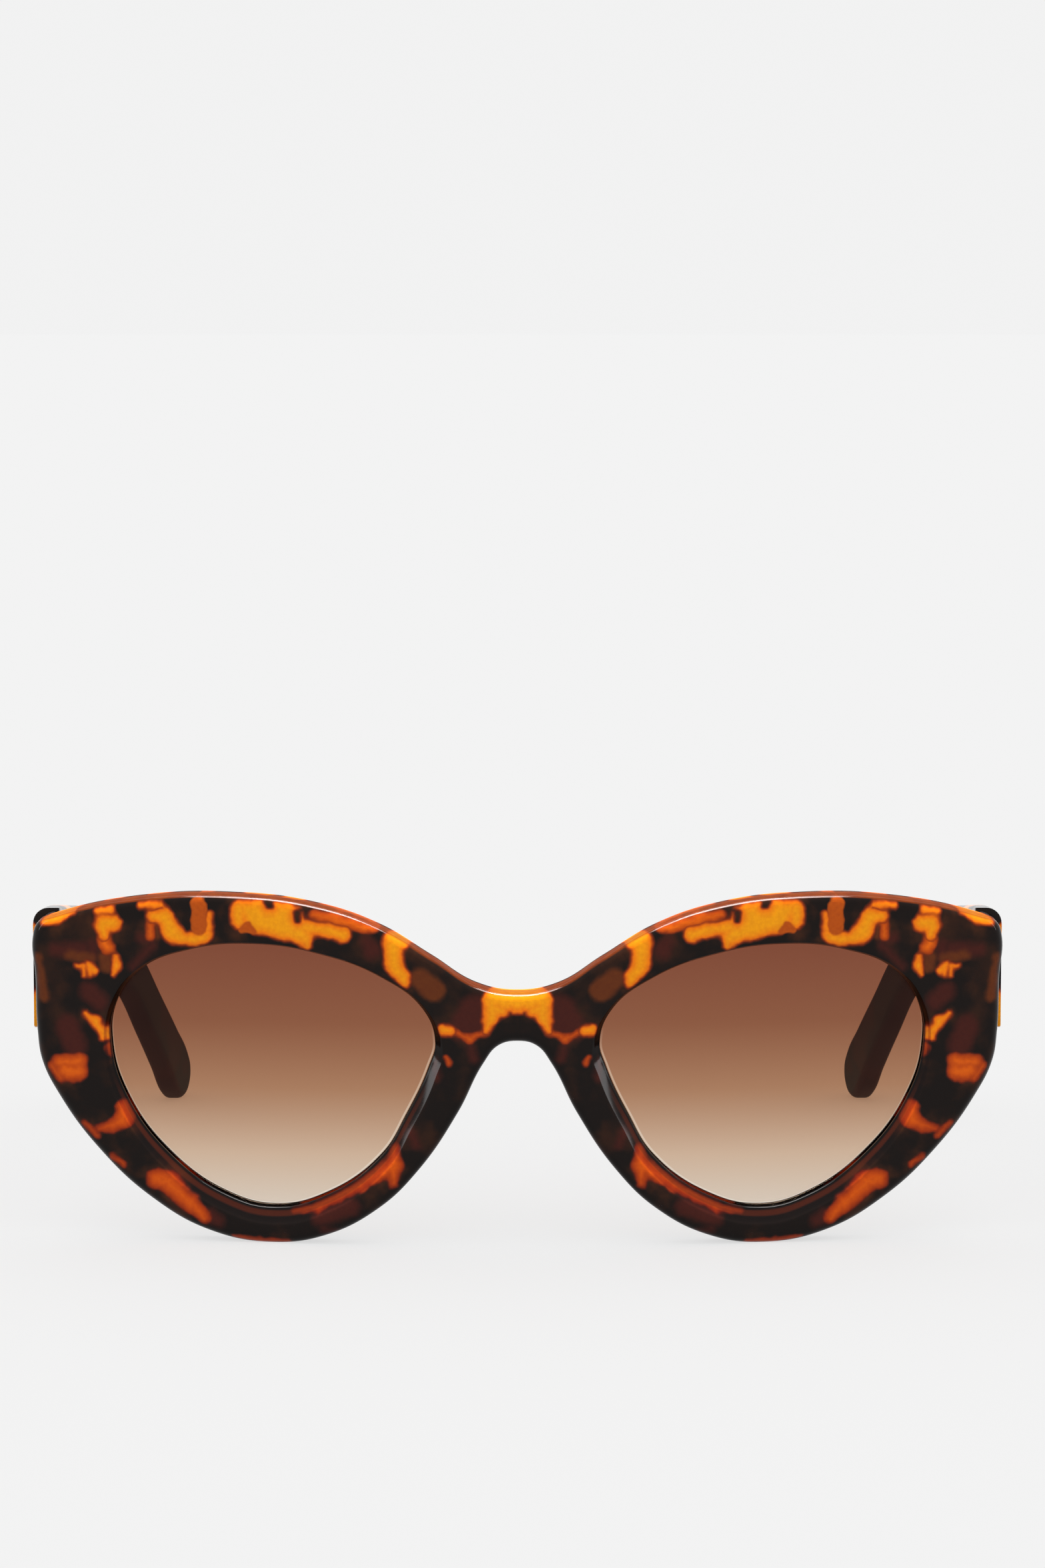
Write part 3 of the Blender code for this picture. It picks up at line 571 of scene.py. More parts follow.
def opening_rings(loop):
    """Rings from the front's face down the slope, round the lens groove and out at the back."""
    width = SLOPE_LEAST + (SLOPE_MOST - SLOPE_LEAST) * ((1.0 - outward_of(loop)[:, 1]) / 2.0) ** 1.5
    ridge = 0.16  # depth where the rounded ridge meets the slope
    groove_front = LENS_FRONT - LIP_GAP
    groove_back = LENS_FRONT + LENS_THICKNESS + LIP_GAP
    back_edge = FRONT_DEPTH - 0.5
    lip = np.minimum(width * 0.1, 0.12)
    rounded = [(width + 0.45, 0.0), (width + 0.25, 0.025), (width + 0.1, 0.08)]
    slope = [
        (width * across, ridge + (SLOPE_DEPTH - ridge) * down)
        for across, down in ((1.0, 0.0), (0.72, 0.3), (0.42, 0.62), (0.2, 0.84))
    ]
    walls = [
        (lip, SLOPE_DEPTH - 0.05), (lip * 0.58, SLOPE_DEPTH - 0.01), (lip * 0.25, SLOPE_DEPTH + 0.06),
        (0.0, SLOPE_DEPTH + 0.2), (0.0, groove_front - 0.06), (0.06, groove_front),
        (GROOVE_DEPTH, groove_front), (GROOVE_DEPTH, groove_back), (0.06, groove_back),
        (0.0, groove_back + 0.06), (0.0, back_edge), (0.07, back_edge + 0.25),
        (0.25, back_edge + 0.43), (0.5, FRONT_DEPTH),
    ]
    return [ring(loop, outset, depth) for outset, depth in rounded + slope + walls]


def rounded_rectangle(low, high, radius):
    """Corner points of an upright rectangle with rounded corners, anticlockwise."""
    points = []
    corners = ((high[0], high[1]), (low[0], high[1]), (low[0], low[1]), (high[0], low[1]))
    for turn, (u, v) in enumerate(corners):
        centre_u = u - radius if u == high[0] else u + radius
        centre_v = v - radius if v == high[1] else v + radius
        for step in np.linspace(0.0, math.pi / 2, 7):
            angle = turn * math.pi / 2 + step
            points.append((centre_u + radius * math.cos(angle), centre_v + radius * math.sin(angle)))
    return np.array(points)


def prism(name, loop, front_y, back_y, edge, side):
    """A solid with the loop's outline straight back from front_y to back_y, with rounded edges."""
    rings = edge_rings(loop, back_y - front_y, edge, edge, steps=4)
    for line in rings:
        line[:, 2] += front_y
    return plate(name, [rings], behind, side, spacing=1.5)


def nose_pad(side):
    lean = Matrix.Rotation(math.radians(NOSE_PAD_LEAN), 4, "Y")
    splay = Matrix.Rotation(math.radians(-NOSE_PAD_SPLAY), 4, "Z")
    matrix = Matrix.Translation(NOSE_PAD_AT) @ lean @ splay @ Matrix.Diagonal((*NOSE_PAD_RADII, 1.0))

    def change(bm):
        bmesh.ops.create_uvsphere(bm, u_segments=64, v_segments=40, radius=1.0, matrix=matrix)
    return solid("nose_pad", side, change)


def round_corner(loop):
    """Round the upper outer corner of an end piece with its larger radius."""
    centre = np.array([END_PIECE_X[1] - END_PIECE_CORNER, END_PIECE_Z[1] - END_PIECE_CORNER])
    offset = loop - centre
    distance = np.linalg.norm(offset, axis=1)
    outside = (offset.min(axis=1) > 0) & (distance > END_PIECE_CORNER)
    rounded = centre + offset * (END_PIECE_CORNER / distance)[:, None]
    return np.where(outside[:, None], rounded, loop)


def end_piece(side):
    """The arm of the front that reaches back to meet the temple."""
    low, high = zip(END_PIECE_X, END_PIECE_Z)
    loop = round_corner(even_loop(rounded_rectangle(low, high, 0.5), 0.5))
    return prism("end_piece", loop, END_PIECE_ROOT_Y, BUTT_Y, 0.3, side)


def hinge_boss(side):
    low = (BOSS_X[0], HINGE_Z - BOSS_HALF_HEIGHT)
    high = (BOSS_X[1], HINGE_Z + BOSS_HALF_HEIGHT)
    loop = even_loop(rounded_rectangle(low, high, 1.0), 0.5)
    return prism("boss", loop, BOSS_ROOT_Y, BOSS_BACK_Y, 0.4, side)


def front_pocket(side):
    """The recess in the boss and the end piece that takes the leaf on the front."""
    half = LEAF_HALF_HEIGHT + FIT_GAP
    low = (FRONT_LEAF_X[0] - FIT_GAP, FRONT_LEAF_Y - FIT_GAP, HINGE_Z - half)
    high = (END_PIECE_X[0] + 0.02, BUTT_Y + OVERCUT, HINGE_Z + half)
    return rounded_box("front_pocket", low, high, side)


def rivet_hole(at, direction, side):
    """A hole for a rivet whose head's underside is at a point."""
    at, direction = Vector(at), Vector(direction)
    start = at - direction * OVERCUT
    end = at + direction * (RIVET_LENGTH + FIT_GAP)
    return cylinder("rivet_hole", RIVET_RADIUS + FIT_GAP, start, end, side, segments=RIVET_SIDES)


def front_moulding():
    half = FRONT_OUTLINE
    outline = smooth_loop(half + [(-x, z) for x, z in reversed(half[1:-1])])
    opening = smooth_loop(LENS_OUTLINE)
    mirrored = (opening * (-1.0, 1.0))[::-1]
    borders = [edge_rings(outline, FRONT_DEPTH, FRONT_EDGE, BACK_EDGE)]
    borders += [opening_rings(opening), opening_rings(mirrored)]
    front = plate("front_moulding", borders, on_front, 1)

    added, cut = [], []
    for _, side in HANDS:
        added += [end_piece(side), hinge_boss(side), nose_pad(side)]
        cut.append(front_pocket(side))
        cut += [rivet_hole(at, (0, -1, 0), side) for at in front_rivet_points()]
    combine(front, added, "UNION")
    combine(front, cut, "DIFFERENCE")
    return front


def lens(hand, side):
    """A bent lens with a small bevel round its edge, which sits in the front's groove."""
    loop = smooth_loop(LENS_OUTLINE)
    edge = 0.25
    # The painted light line on the front face lies higher at the bottom, clear of the lip behind it.
    line = -0.35 * np.clip(-outward_of(loop)[:, 1], 0.0, 1.0)
    profile = [(line - 0.37, 0.0), (line - 0.27, 0.0), (line - 0.08, 0.0), (line, 0.0)]
    profile += [(LENS_IN_GROOVE - edge, 0.0), (LENS_IN_GROOVE, edge)]
    profile += [(LENS_IN_GROOVE, LENS_THICKNESS - edge), (LENS_IN_GROOVE - edge, LENS_THICKNESS)]
    rings = [ring(loop, outset, LENS_FRONT + depth) for outset, depth in profile]
    ob = plate(f"tinted_lens_{hand}", [rings], on_front, side)
    # Painted light: the front face loses its tint in a fine line inside the rim, round the lower half of
    # the lens, so a bright line shows there.
    clear = np.zeros(len(ob.data.vertices))
    lowness = np.clip((0.3 - outward_of(loop)[:, 1]) / 0.6, 0.0, 1.0)
    clear[len(loop):3 * len(loop)] = np.tile(lowness, 2)
    ob.data.attributes.new("painted_light_line", "FLOAT", "POINT").data.foreach_set("value", clear)
    return ob


# ---- Temples
def temple_outline():
    """Anchors of the temple's side outline, from its middle line and heights, with a round tip."""
    path = [Vector((y, z)) for y, z, _ in TEMPLE_PATH]
    upper, lower = [], []
    for i, (_, _, height) in enumerate(TEMPLE_PATH):
        before, after = path[max(i - 1, 0)], path[min(i + 1, len(path) - 1)]
        along = (after - before).normalized()
        normal = Vector((-along.y, along.x)) if i else Vector((0.0, 1.0))
        upper.append(path[i] + normal * height / 2)
        lower.append(path[i] - normal * height / 2)
    along = (path[-1] - path[-2]).normalized()
    normal = Vector((-along.y, along.x))
    radius = TEMPLE_PATH[-1][2] / 2
    tip = [
        path[-1] + (along * math.cos(a) + normal * math.sin(a)) * radius
        for a in (math.radians(45.0), 0.0, math.radians(-45.0))
    ]
    return [tuple(p) for p in upper + tip + lower[::-1]]


def squared_end(loop, start):
    """Cut the loop off straight at u = start, with a small round at both corners."""
    kept = loop[loop[:, 0] > start]
    after = np.argmax(np.linalg.norm(np.roll(kept, -1, axis=0) - kept, axis=1))
    kept = np.roll(kept, -after - 1, axis=0)
    first, last = kept[0, 1], kept[-1, 1]
    bevel = 0.1
    inward = math.copysign(0.4, first - last)
    corners = [(start + bevel, last), (start, last + inward)]
    corners += [(start, first - inward), (start + bevel, first)]
    return even_loop(np.vstack([kept, corners]), OUTLINE_SPACING)


def on_temple(points):
    """(y, z, depth from the outer face) to (x, y, z) on the curved temple."""
    y, z, depth = points.T
    bend = TEMPLE_BEND * np.maximum(y - TEMPLE_BEND_FROM, 0.0) ** 2
    middle = TEMPLE_OUTER_X - TEMPLE_THICKNESS / 2 - bend
    t = np.clip((y - TEMPLE_THIN_FROM) / (TEMPLE_THIN_TO - TEMPLE_THIN_FROM), 0.0, 1.0)
    thinning = 1.0 + (TEMPLE_TIP_THICKNESS / TEMPLE_THICKNESS - 1.0) * t * t * (3.0 - 2.0 * t)
    return np.column_stack([middle + (TEMPLE_THICKNESS / 2 - depth) * thinning, y, z])


def temple_rings(loop, start):
    """Rings round the temple's edge, which is rounded less towards the butt face.

    The upper outer edge is rounded more there, as the end piece is.
    """
    along, below_top = loop[:, 0] - start, loop[:, 1].max() - loop[:, 1]
    radius = TEMPLE_EDGE * np.clip((along - 1.0) / 6.0, 0.15, 1.0)
    height = np.clip(1.0 - below_top / 6.0, 0.0, 1.0)
    corner = height * np.clip((25.0 - along) / 20.0, 0.0, 1.0)
    plain = radius * (1.0 - corner)
    rings = []
    for inset, depth in quarter(1.0, 8):
        line = ring(loop, -plain * inset, (plain + TEMPLE_CORNER * corner) * depth)
        line[:, 1] -= TEMPLE_CORNER * corner * inset
        rings.append(line)
    for inset, depth in reversed(quarter(1.0, 8)):
        rings.append(ring(loop, -radius * inset, TEMPLE_THICKNESS - radius * depth))
    return rings


def temple_pocket(side):
    """The recess in the temple's inner face that takes its hinge leaf."""
    half = TEMPLE_LEAF_HALF_HEIGHT + FIT_GAP
    inner_x = TEMPLE_OUTER_X - TEMPLE_THICKNESS - OVERCUT
    low = (inner_x, TEMPLE_LEAF_Y[0] - FIT_GAP, HINGE_Z - half)
    high = (TEMPLE_LEAF_X + LEAF_THICKNESS + FIT_GAP, TEMPLE_LEAF_Y[1] + FIT_GAP, HINGE_Z + half)
    return rounded_box("temple_pocket", low, high, side)


def temple_moulding(hand, side):
    start = BUTT_Y + TOUCH_GAP
    loop = squared_end(smooth_loop(temple_outline()), start)
    temple = plate(f"temple_moulding_{hand}", [temple_rings(loop, start)], on_temple, side)
    holes = [rivet_hole(at, (1, 0, 0), side) for at in temple_rivet_points()]
    combine(temple, [temple_pocket(side)] + holes, "DIFFERENCE")
    return temple


# ---- Hinges, screws and rivets
def front_rivet_points():
    """Under the heads of the rivets through the leaf on the front."""
    y = FRONT_LEAF_Y + LEAF_THICKNESS + TOUCH_GAP
    return [(FRONT_RIVET_X, y, z) for z in FRONT_RIVET_Z]


def temple_rivet_points():
    """Under the heads of the rivets through the leaf on the temple."""
    x = TEMPLE_LEAF_X - TOUCH_GAP
    return [(x, y, HINGE_Z) for y in TEMPLE_RIVET_Y]


def knuckle_spans(slots):
    """The lowest and highest z of the knuckles in the given places of the five."""
    pitch = KNUCKLE_HEIGHT + KNUCKLE_SPACE
    return [
        (HINGE_Z + slot * pitch - KNUCKLE_HEIGHT / 2, HINGE_Z + slot * pitch + KNUCKLE_HEIGHT / 2)
        for slot in slots
    ]


def on_hinge_axis(radius, low, high, side, edge=0.0):
    """A cylinder about the hinge axis between two heights."""
    start, end = (HINGE_X, HINGE_Y, low), (HINGE_X, HINGE_Y, high)
    return cylinder("on_hinge_axis", radius, start, end, side, edge=edge)


def hinge_leaf(name, side, low, high, web, slots, rivets, direction):
    """A plate with rounded edges, and knuckles that webs join to it, bored for the screw."""
    leaf = rounded_box(name, low, high, side, radius=0.18)
    (x0, x1), (y0, y1) = web
    added = []
    for bottom, top in knuckle_spans(slots):
        web_low, web_high = (x0, y0, bottom + WEB_INSET), (x1, y1, top - WEB_INSET)
        added.append(rounded_box("web", web_low, web_high, side))
        added.append(on_hinge_axis(KNUCKLE_RADIUS, bottom, top, side, edge=0.1))
    combine(leaf, added, "UNION")
    reach = LEAF_HALF_HEIGHT + 2 * OVERCUT
    holes = [on_hinge_axis(BORE_RADIUS, HINGE_Z - reach, HINGE_Z + reach, side)]
    holes += [rivet_hole(at, direction, side) for at in rivets]
    combine(leaf, holes, "DIFFERENCE")
    return leaf


def front_leaf(hand, side):
    low = (FRONT_LEAF_X[0], FRONT_LEAF_Y, HINGE_Z - LEAF_HALF_HEIGHT)
    high = (FRONT_LEAF_X[1] - TOUCH_GAP, FRONT_LEAF_Y + LEAF_THICKNESS, HINGE_Z + LEAF_HALF_HEIGHT)
    return hinge_leaf(
        f"front_leaf_{hand}", side, low, high, (FRONT_WEB_X, FRONT_WEB_Y), FRONT_KNUCKLES,
        front_rivet_points(), (0, -1, 0),
    )


def temple_leaf(hand, side):
    low = (TEMPLE_LEAF_X, TEMPLE_LEAF_Y[0], HINGE_Z - TEMPLE_LEAF_HALF_HEIGHT)
    high = (TEMPLE_LEAF_X + LEAF_THICKNESS, TEMPLE_LEAF_Y[1], HINGE_Z + TEMPLE_LEAF_HALF_HEIGHT)
    return hinge_leaf(
        f"temple_leaf_{hand}", side, low, high, (TEMPLE_WEB_X, TEMPLE_WEB_Y), TEMPLE_KNUCKLES,
        temple_rivet_points(), (1, 0, 0),
    )


def screw(hand, side):
    """A slotted screw: its domed head rests on the top knuckle, its shank ends in the lowest."""
    knuckles = knuckle_spans(FRONT_KNUCKLES)
    head = knuckles[-1][1] + TOUCH_GAP
    tail = knuckles[0][0]
    dome = [
        (SCREW_HEAD_RADIUS * math.sin(t), head + SCREW_HEAD_HEIGHT * (0.4 + 0.6 * math.cos(t)))
        for t in np.linspace(0.0, math.pi / 2, 9)
    ]
    shank = [
        (SCREW_HEAD_RADIUS, head + 0.08), (SCREW_HEAD_RADIUS - 0.08, head), (SCREW_RADIUS, head),
        (SCREW_RADIUS, tail + SCREW_POINT), (SCREW_RADIUS * 0.7, tail), (0.0, tail),
    ]
    on_axis = Matrix.Translation((HINGE_X, HINGE_Y, 0.0))
    ob = turned(f"screw_{hand}", dome + shank, TURNED_SIDES, on_axis, side)
    reach = SCREW_HEAD_RADIUS + OVERCUT
    half_slot = SCREW_SLOT_WIDTH / 2
    low = (HINGE_X - reach, HINGE_Y - half_slot, head + SCREW_HEAD_HEIGHT * 0.5)
    high = (HINGE_X + reach, HINGE_Y + half_slot, head + SCREW_HEAD_HEIGHT + OVERCUT)
    combine(ob, [rounded_box("screw_slot", low, high, side)], "DIFFERENCE")
    return ob


def rivet(name, side, at, direction):
    """A domed rivet whose head's underside is at a point and whose shank runs along direction."""
    dome = [
        (RIVET_HEAD_RADIUS * math.sin(t), RIVET_HEAD_HEIGHT * math.cos(t))
        for t in np.linspace(0.0, math.pi / 2, 8)
    ]
    shank = [(RIVET_RADIUS, 0.0), (RIVET_RADIUS, -RIVET_LENGTH), (0.0, -RIVET_LENGTH)]
    turn = Vector(direction).to_track_quat("-Z", "Y").to_matrix().to_4x4()
    return turned(name, dome + shank, RIVET_SIDES, Matrix.Translation(at) @ turn, side)


# ---- Materials
class Nodes:
    """Adds nodes to a material or world; each method returns the new node's output."""

    def __init__(self, owner):
        owner.use_nodes = True
        self.owner = owner
        self.tree = owner.node_tree
        self.tree.nodes.clear()

    def add(self, kind, values=(), out=0, **settings):
        node = self.tree.nodes.new(kind)
        for name, value in settings.items():
            setattr(node, name, value)
        for key, value in dict(values).items():
            socket = node.inputs[key]
            if isinstance(value, bpy.types.NodeSocket):
                self.tree.links.new(value, socket)
            elif socket.type == "RGBA":
                socket.default_value = (*value, 1.0)
            else:
                socket.default_value = value
        return node.outputs[out]

    def math(self, operation, *values):
        return self.add("ShaderNodeMath", enumerate(values), operation=operation)

    def times(self, first, *others):
        for other in others:
            first = self.math("MULTIPLY", first, other)
        return first

    def minus(self, first, second):
        return self.math("SUBTRACT", first, second)

    def vector(self, operation, *values, out=0):
        return self.add("ShaderNodeVectorMath", enumerate(values), out=out, operation=operation)

    def point(self):
        """The point in the frame's metres."""
        return self.add("ShaderNodeTexCoord", out=3)

    def split(self, vector):
        return [self.add("ShaderNodeSeparateXYZ", {0: vector}, out=i) for i in range(3)]

    def join(self, x, y, z):
        return self.add("ShaderNodeCombineXYZ", {0: x, 1: y, 2: z})

    def noise(self, point, scale, detail=2.0, out=0):
        values = {"Vector": point, "Scale": scale, "Detail": detail}
        return self.add("ShaderNodeTexNoise", values, out=out)

    def ramp(self, factor, stops):
        output = self.add("ShaderNodeValToRGB", {0: factor})
        elements = output.node.color_ramp.elements
        while len(elements) < len(stops):
            elements.new(0.5)
        for element, (position, colour) in zip(elements, stops):
            element.position = position
            element.color = (*colour, 1.0)
        return output

    def mix(self, factor, first, second, blend="MIX"):
        values = {0: factor, 6: first, 7: second}
        return self.add("ShaderNodeMix", values, out=2, data_type="RGBA", blend_type=blend)

    def span(self, value, low, high, **settings):
        """0 below low, 1 above high and straight between."""
        values = {"Value": value, "From Min": low, "From Max": high}
        return self.add("ShaderNodeMapRange", values, **settings)

    def step(self, value, low, high):
        """0 below low, 1 above high and smooth between."""
        return self.span(value, low, high, interpolation_type="SMOOTHSTEP")

    def bump(self, height, strength, distance):
        return self.add("ShaderNodeBump", {"Height": height, "Strength": strength, "Distance": distance})

    def finish(self, shader, kind="ShaderNodeOutputMaterial"):
        output = self.tree.nodes.new(kind)
        self.tree.links.new(shader, output.inputs[0])
        return self.owner


def new_material(name):
    return Nodes(bpy.data.materials.new(name))


def millimetres(nodes):
    """The point in millimetres with y counted from the front of the bridge, mirrored to +X."""
    scale = (1 / MM, 1 / MM, 1 / MM)
    axes = nodes.split(nodes.vector("MULTIPLY_ADD", nodes.point(), scale, (0.0, ORIGIN_Y, 0.0)))
    axes[0] = nodes.math("ABSOLUTE", axes[0])
    return axes


def blotches(nodes, point, strokes, blend):
    """Millimetres to the edge of the nearest stroke, over x and z: below 0 inside one.

    blend is how softly neighbouring strokes run together.
    """
    field = None
    for x1, z1, r1, x2, z2, r2 in strokes:
        run = Vector((x2 - x1, 0.0, z2 - z1))
        from_start = nodes.vector("SUBTRACT", point, (x1, 0.0, z1))
        share = nodes.vector("DOT_PRODUCT", from_start, run / run.length_squared, out=1)
        share = nodes.add("ShaderNodeClamp", {0: share})
        nearest = nodes.add("ShaderNodeVectorMath", {0: run, "Scale": share}, operation="SCALE")
        distance = nodes.vector("DISTANCE", from_start, nearest, out=1)
        distance = nodes.math("MULTIPLY_ADD", share, r1 - r2, distance)
        distance = nodes.minus(distance, r1)
        field = distance if field is None else nodes.math("SMOOTH_MIN", field, distance, blend)
    return field


def mottled(nodes, point):
    """A tortoise field in millimetres, made of noise: below 0 in the amber patches."""
    shape = nodes.noise(nodes.vector("ADD", point, MOTTLE_SHIFT), MOTTLE_SCALE, 2.2)
    return nodes.math("MULTIPLY_ADD", shape, -MOTTLE_SPREAD, MOTTLE_EDGE)


def amber_or_orange(nodes, field, stops):
    """Colour a field whose edge is at 0: the stops run from 1.4 mm inside to 0.6 mm outside."""
    return nodes.ramp(nodes.span(field, -1.4, 0.6), stops)


def plastic(nodes, colour, smoothness):
    """Polished cellulose acetate, with faint waves from the polishing wheel."""
    point = nodes.point()
    waves = nodes.noise(point, 260.0, 1.0)
    scuffs = nodes.noise(point, 900.0, 3.0)
    values = {
        "Base Color": colour, "Specular IOR Level": SPECULAR_LEVEL,
        "Roughness": nodes.math("MULTIPLY_ADD", scuffs, 0.05, smoothness),
        "Normal": nodes.bump(waves, 0.06, 0.0004),
    }
    return nodes.finish(nodes.add("ShaderNodeBsdfPrincipled", values))


def depth_in_front(nodes, x, y):
    """How far a point lies behind the front's bent face."""
    square = nodes.minus(FRONT_BEND_RADIUS ** 2, nodes.times(x, x))
    bent = nodes.minus(FRONT_BEND_RADIUS, nodes.math("SQRT", square))
    return nodes.minus(y, bent)


def face_pattern(nodes, point, z):
    """The front's blotches, as strokes on its face.

    A step to a blotch's colour starts and ends at distances from its edge.
    """
    amber = blotches(nodes, point, AMBER, 0.9)
    dark = blotches(nodes, point, DARK, 0.4)
    amber = nodes.math("SMOOTH_MAX", amber, nodes.times(dark, -1.0), 0.3)
    orange = blotches(nodes, point, ORANGE, 0.9)
    orange = nodes.math("SMOOTH_MIN", orange, amber, 0.8)
    toffee = blotches(nodes, point, TOFFEE, 0.4)
    brown = blotches(nodes, point, BROWN, 0.4)
    maroon = blotches(nodes, point, MAROON, 0.6)
    # Brown shows through thin plastic here and there, most of all round the blotches.
    thin = nodes.step(nodes.noise(point, 0.16, 3.0), 0.44, 0.74)
    near = nodes.step(orange, 2.4, 0.2)
    haze = nodes.times(thin, nodes.math("MULTIPLY_ADD", near, 0.6, 0.4))
    colour = nodes.mix(haze, NEAR_BLACK, HAZE_COLOUR)
    colour = nodes.mix(nodes.step(maroon, 1.0, -0.8), colour, MAROON_COLOUR)
    colour = nodes.mix(nodes.step(brown, 0.6, -0.5), colour, BROWN_COLOUR)
    warm = nodes.mix(nodes.step(z, 16.0, 44.0), LOW_WARMTH, HIGH_WARMTH)
    feathered = nodes.math("MULTIPLY_ADD", orange, 0.7, -0.05)
    orange_colour = nodes.mix(1.0, amber_or_orange(nodes, feathered, ORANGE_STOPS), warm, "MULTIPLY")
    colour = nodes.mix(nodes.step(orange, 0.6, 0.1), colour, orange_colour)
    amber_colour = amber_or_orange(nodes, amber, AMBER_STOPS)
    colour = nodes.mix(nodes.step(amber, 0.35, 0.0), colour, amber_colour)
    return nodes.mix(nodes.step(toffee, 0.15, -0.25), colour, TOFFEE_COLOUR)


def faces_lens(nodes, normal, x, z):
    """1 on the slope and walls round a lens opening, below its top, and 0 elsewhere."""
    raw_x = nodes.add("ShaderNodeSeparateXYZ", {0: nodes.point()})
    normal_x = nodes.times(normal[0], nodes.math("SIGN", raw_x))
    along_x = nodes.times(normal_x, nodes.minus(LENS_MIDDLE[0], x))
    along_z = nodes.times(normal[2], nodes.minus(LENS_MIDDLE[1], z))
    inward = nodes.step(nodes.math("ADD", along_x, along_z), 2.0, 7.0)
    return nodes.times(inward, nodes.step(z, 43.0, 33.0))


def painted_slope_shade(nodes, colour, depth, z):
    """Painted shade and reflection on the slope: a dark band under its ridge, a brown line along it that
    stands in for a reflection, and a dark lip where shade falls into the groove.
    """
    down = nodes.span(depth, 0.0, 2.0)
    shaded = nodes.mix(1.0, colour, nodes.ramp(down, SLOPE_PAINTED_SHADE_STOPS), "MULTIPLY")
    line = nodes.times(nodes.step(depth, 0.55, 0.75), nodes.step(depth, 1.1, 0.95))
    line = nodes.times(line, nodes.step(z, 26.0, 18.0))
    return nodes.mix(nodes.times(line, 0.6), shaded, SLOPE_PAINTED_REFLECTION_COLOUR)


def front_tortoise():
    nodes = new_material("tortoise_front")
    x, y, z = millimetres(nodes)
    depth = depth_in_front(nodes, x, y)
    # The blotches run back through the plastic at a slant.
    flat_x = nodes.math("MULTIPLY_ADD", depth, BLOTCH_SLANT[0], x)
    flat_z = nodes.math("MULTIPLY_ADD", depth, BLOTCH_SLANT[1], z)
    flat = nodes.join(flat_x, 0.0, flat_z)
    wobble = nodes.noise(flat, 0.6, 1.0, out=1)
    size, shift = (2 * WOBBLE, 0.0, 2 * WOBBLE), (-WOBBLE, 0.0, -WOBBLE)
    wobble = nodes.vector("MULTIPLY_ADD", wobble, size, shift)
    colour = face_pattern(nodes, nodes.vector("ADD", flat, wobble), z)
    # The end pieces and hinge bosses carry on the temples' pattern.
    solid = nodes.join(x, y, z)
    behind_front = amber_or_orange(nodes, mottled(nodes, solid), AMBER_STOPS)
    colour = nodes.mix(nodes.step(depth, 5.0, 7.5), colour, behind_front)
    grain = nodes.step(nodes.noise(solid, 1.6, 4.0), 0.25, 0.75)
    colour = nodes.mix(1.0, colour, nodes.mix(grain, DARK_GRAIN, LIGHT_GRAIN), "MULTIPLY")

    normal = nodes.split(nodes.add("ShaderNodeNewGeometry", out=1))
    # Painted shade and reflection on the slopes and walls round the lens openings
    colour = nodes.mix(faces_lens(nodes, normal, x, z), colour, painted_slope_shade(nodes, colour, depth, z))

    # Painted glow: up-facing surfaces along the upper edge get a bright amber colour that stands in for
    # light from above coming through the plastic. It stops short of the back edge, which keeps the
    # darker pattern colour.
    glow = nodes.mix(nodes.noise(solid, 0.5, 3.0), RIM_PAINTED_GLOW_COLOUR, RIM_PAINTED_GLOW_BRIGHT_COLOUR)
    glow = nodes.mix(0.35, glow, colour, "LIGHTEN")
    painted_glow_mask = nodes.times(
        nodes.step(normal[2], 0.5, 0.72), nodes.step(z, 32.5, 35.0), nodes.step(x, 73.9, 73.2),
        nodes.step(depth, 3.7, 2.9),
    )
    # The flat of the upper edge is left as it was cut.
    flat_top = nodes.step(normal[2], 0.72, 0.86)
    roughness = nodes.math("MULTIPLY_ADD", flat_top, AS_CUT - POLISHED, POLISHED)
    return plastic(nodes, nodes.mix(painted_glow_mask, colour, glow), roughness)


def temple_tortoise():
    nodes = new_material("tortoise_temple")
    x, y, z = millimetres(nodes)
    field = mottled(nodes, nodes.join(x, y, z))
    colour = amber_or_orange(nodes, field, AMBER_STOPS)
    deeper = amber_or_orange(nodes, field, ORANGE_STOPS)
    colour = nodes.mix(nodes.step(y, 25.0, 60.0), colour, deeper)
    colour = nodes.mix(nodes.times(nodes.step(y, 45.0, 90.0), 0.97), colour, TIP_COLOUR)
    # Painted glow: the thin upper and lower edges over the ear get a reddish colour that stands in for
    # light coming through them.
    spans = [
        (y1, z1, height1 / 2, y2, z2, height2 / 2)
        for (y1, z1, height1), (y2, z2, height2) in zip(TEMPLE_PATH, TEMPLE_PATH[1:])
    ]
    side_view = nodes.join(y, 0.0, z)
    inset = blotches(nodes, side_view, spans, 0.5)
    edge = nodes.times(nodes.step(inset, -1.5, -0.2), nodes.step(y, 40.0, 70.0))
    colour = nodes.mix(nodes.times(edge, 0.5), colour, TIP_EDGE_PAINTED_GLOW_COLOUR)
    # Wear has taken the polish off the part over the ear.
    worn = nodes.step(y, 45.0, 85.0)
    return plastic(nodes, colour, nodes.math("MULTIPLY_ADD", worn, WORN - POLISHED, POLISHED))


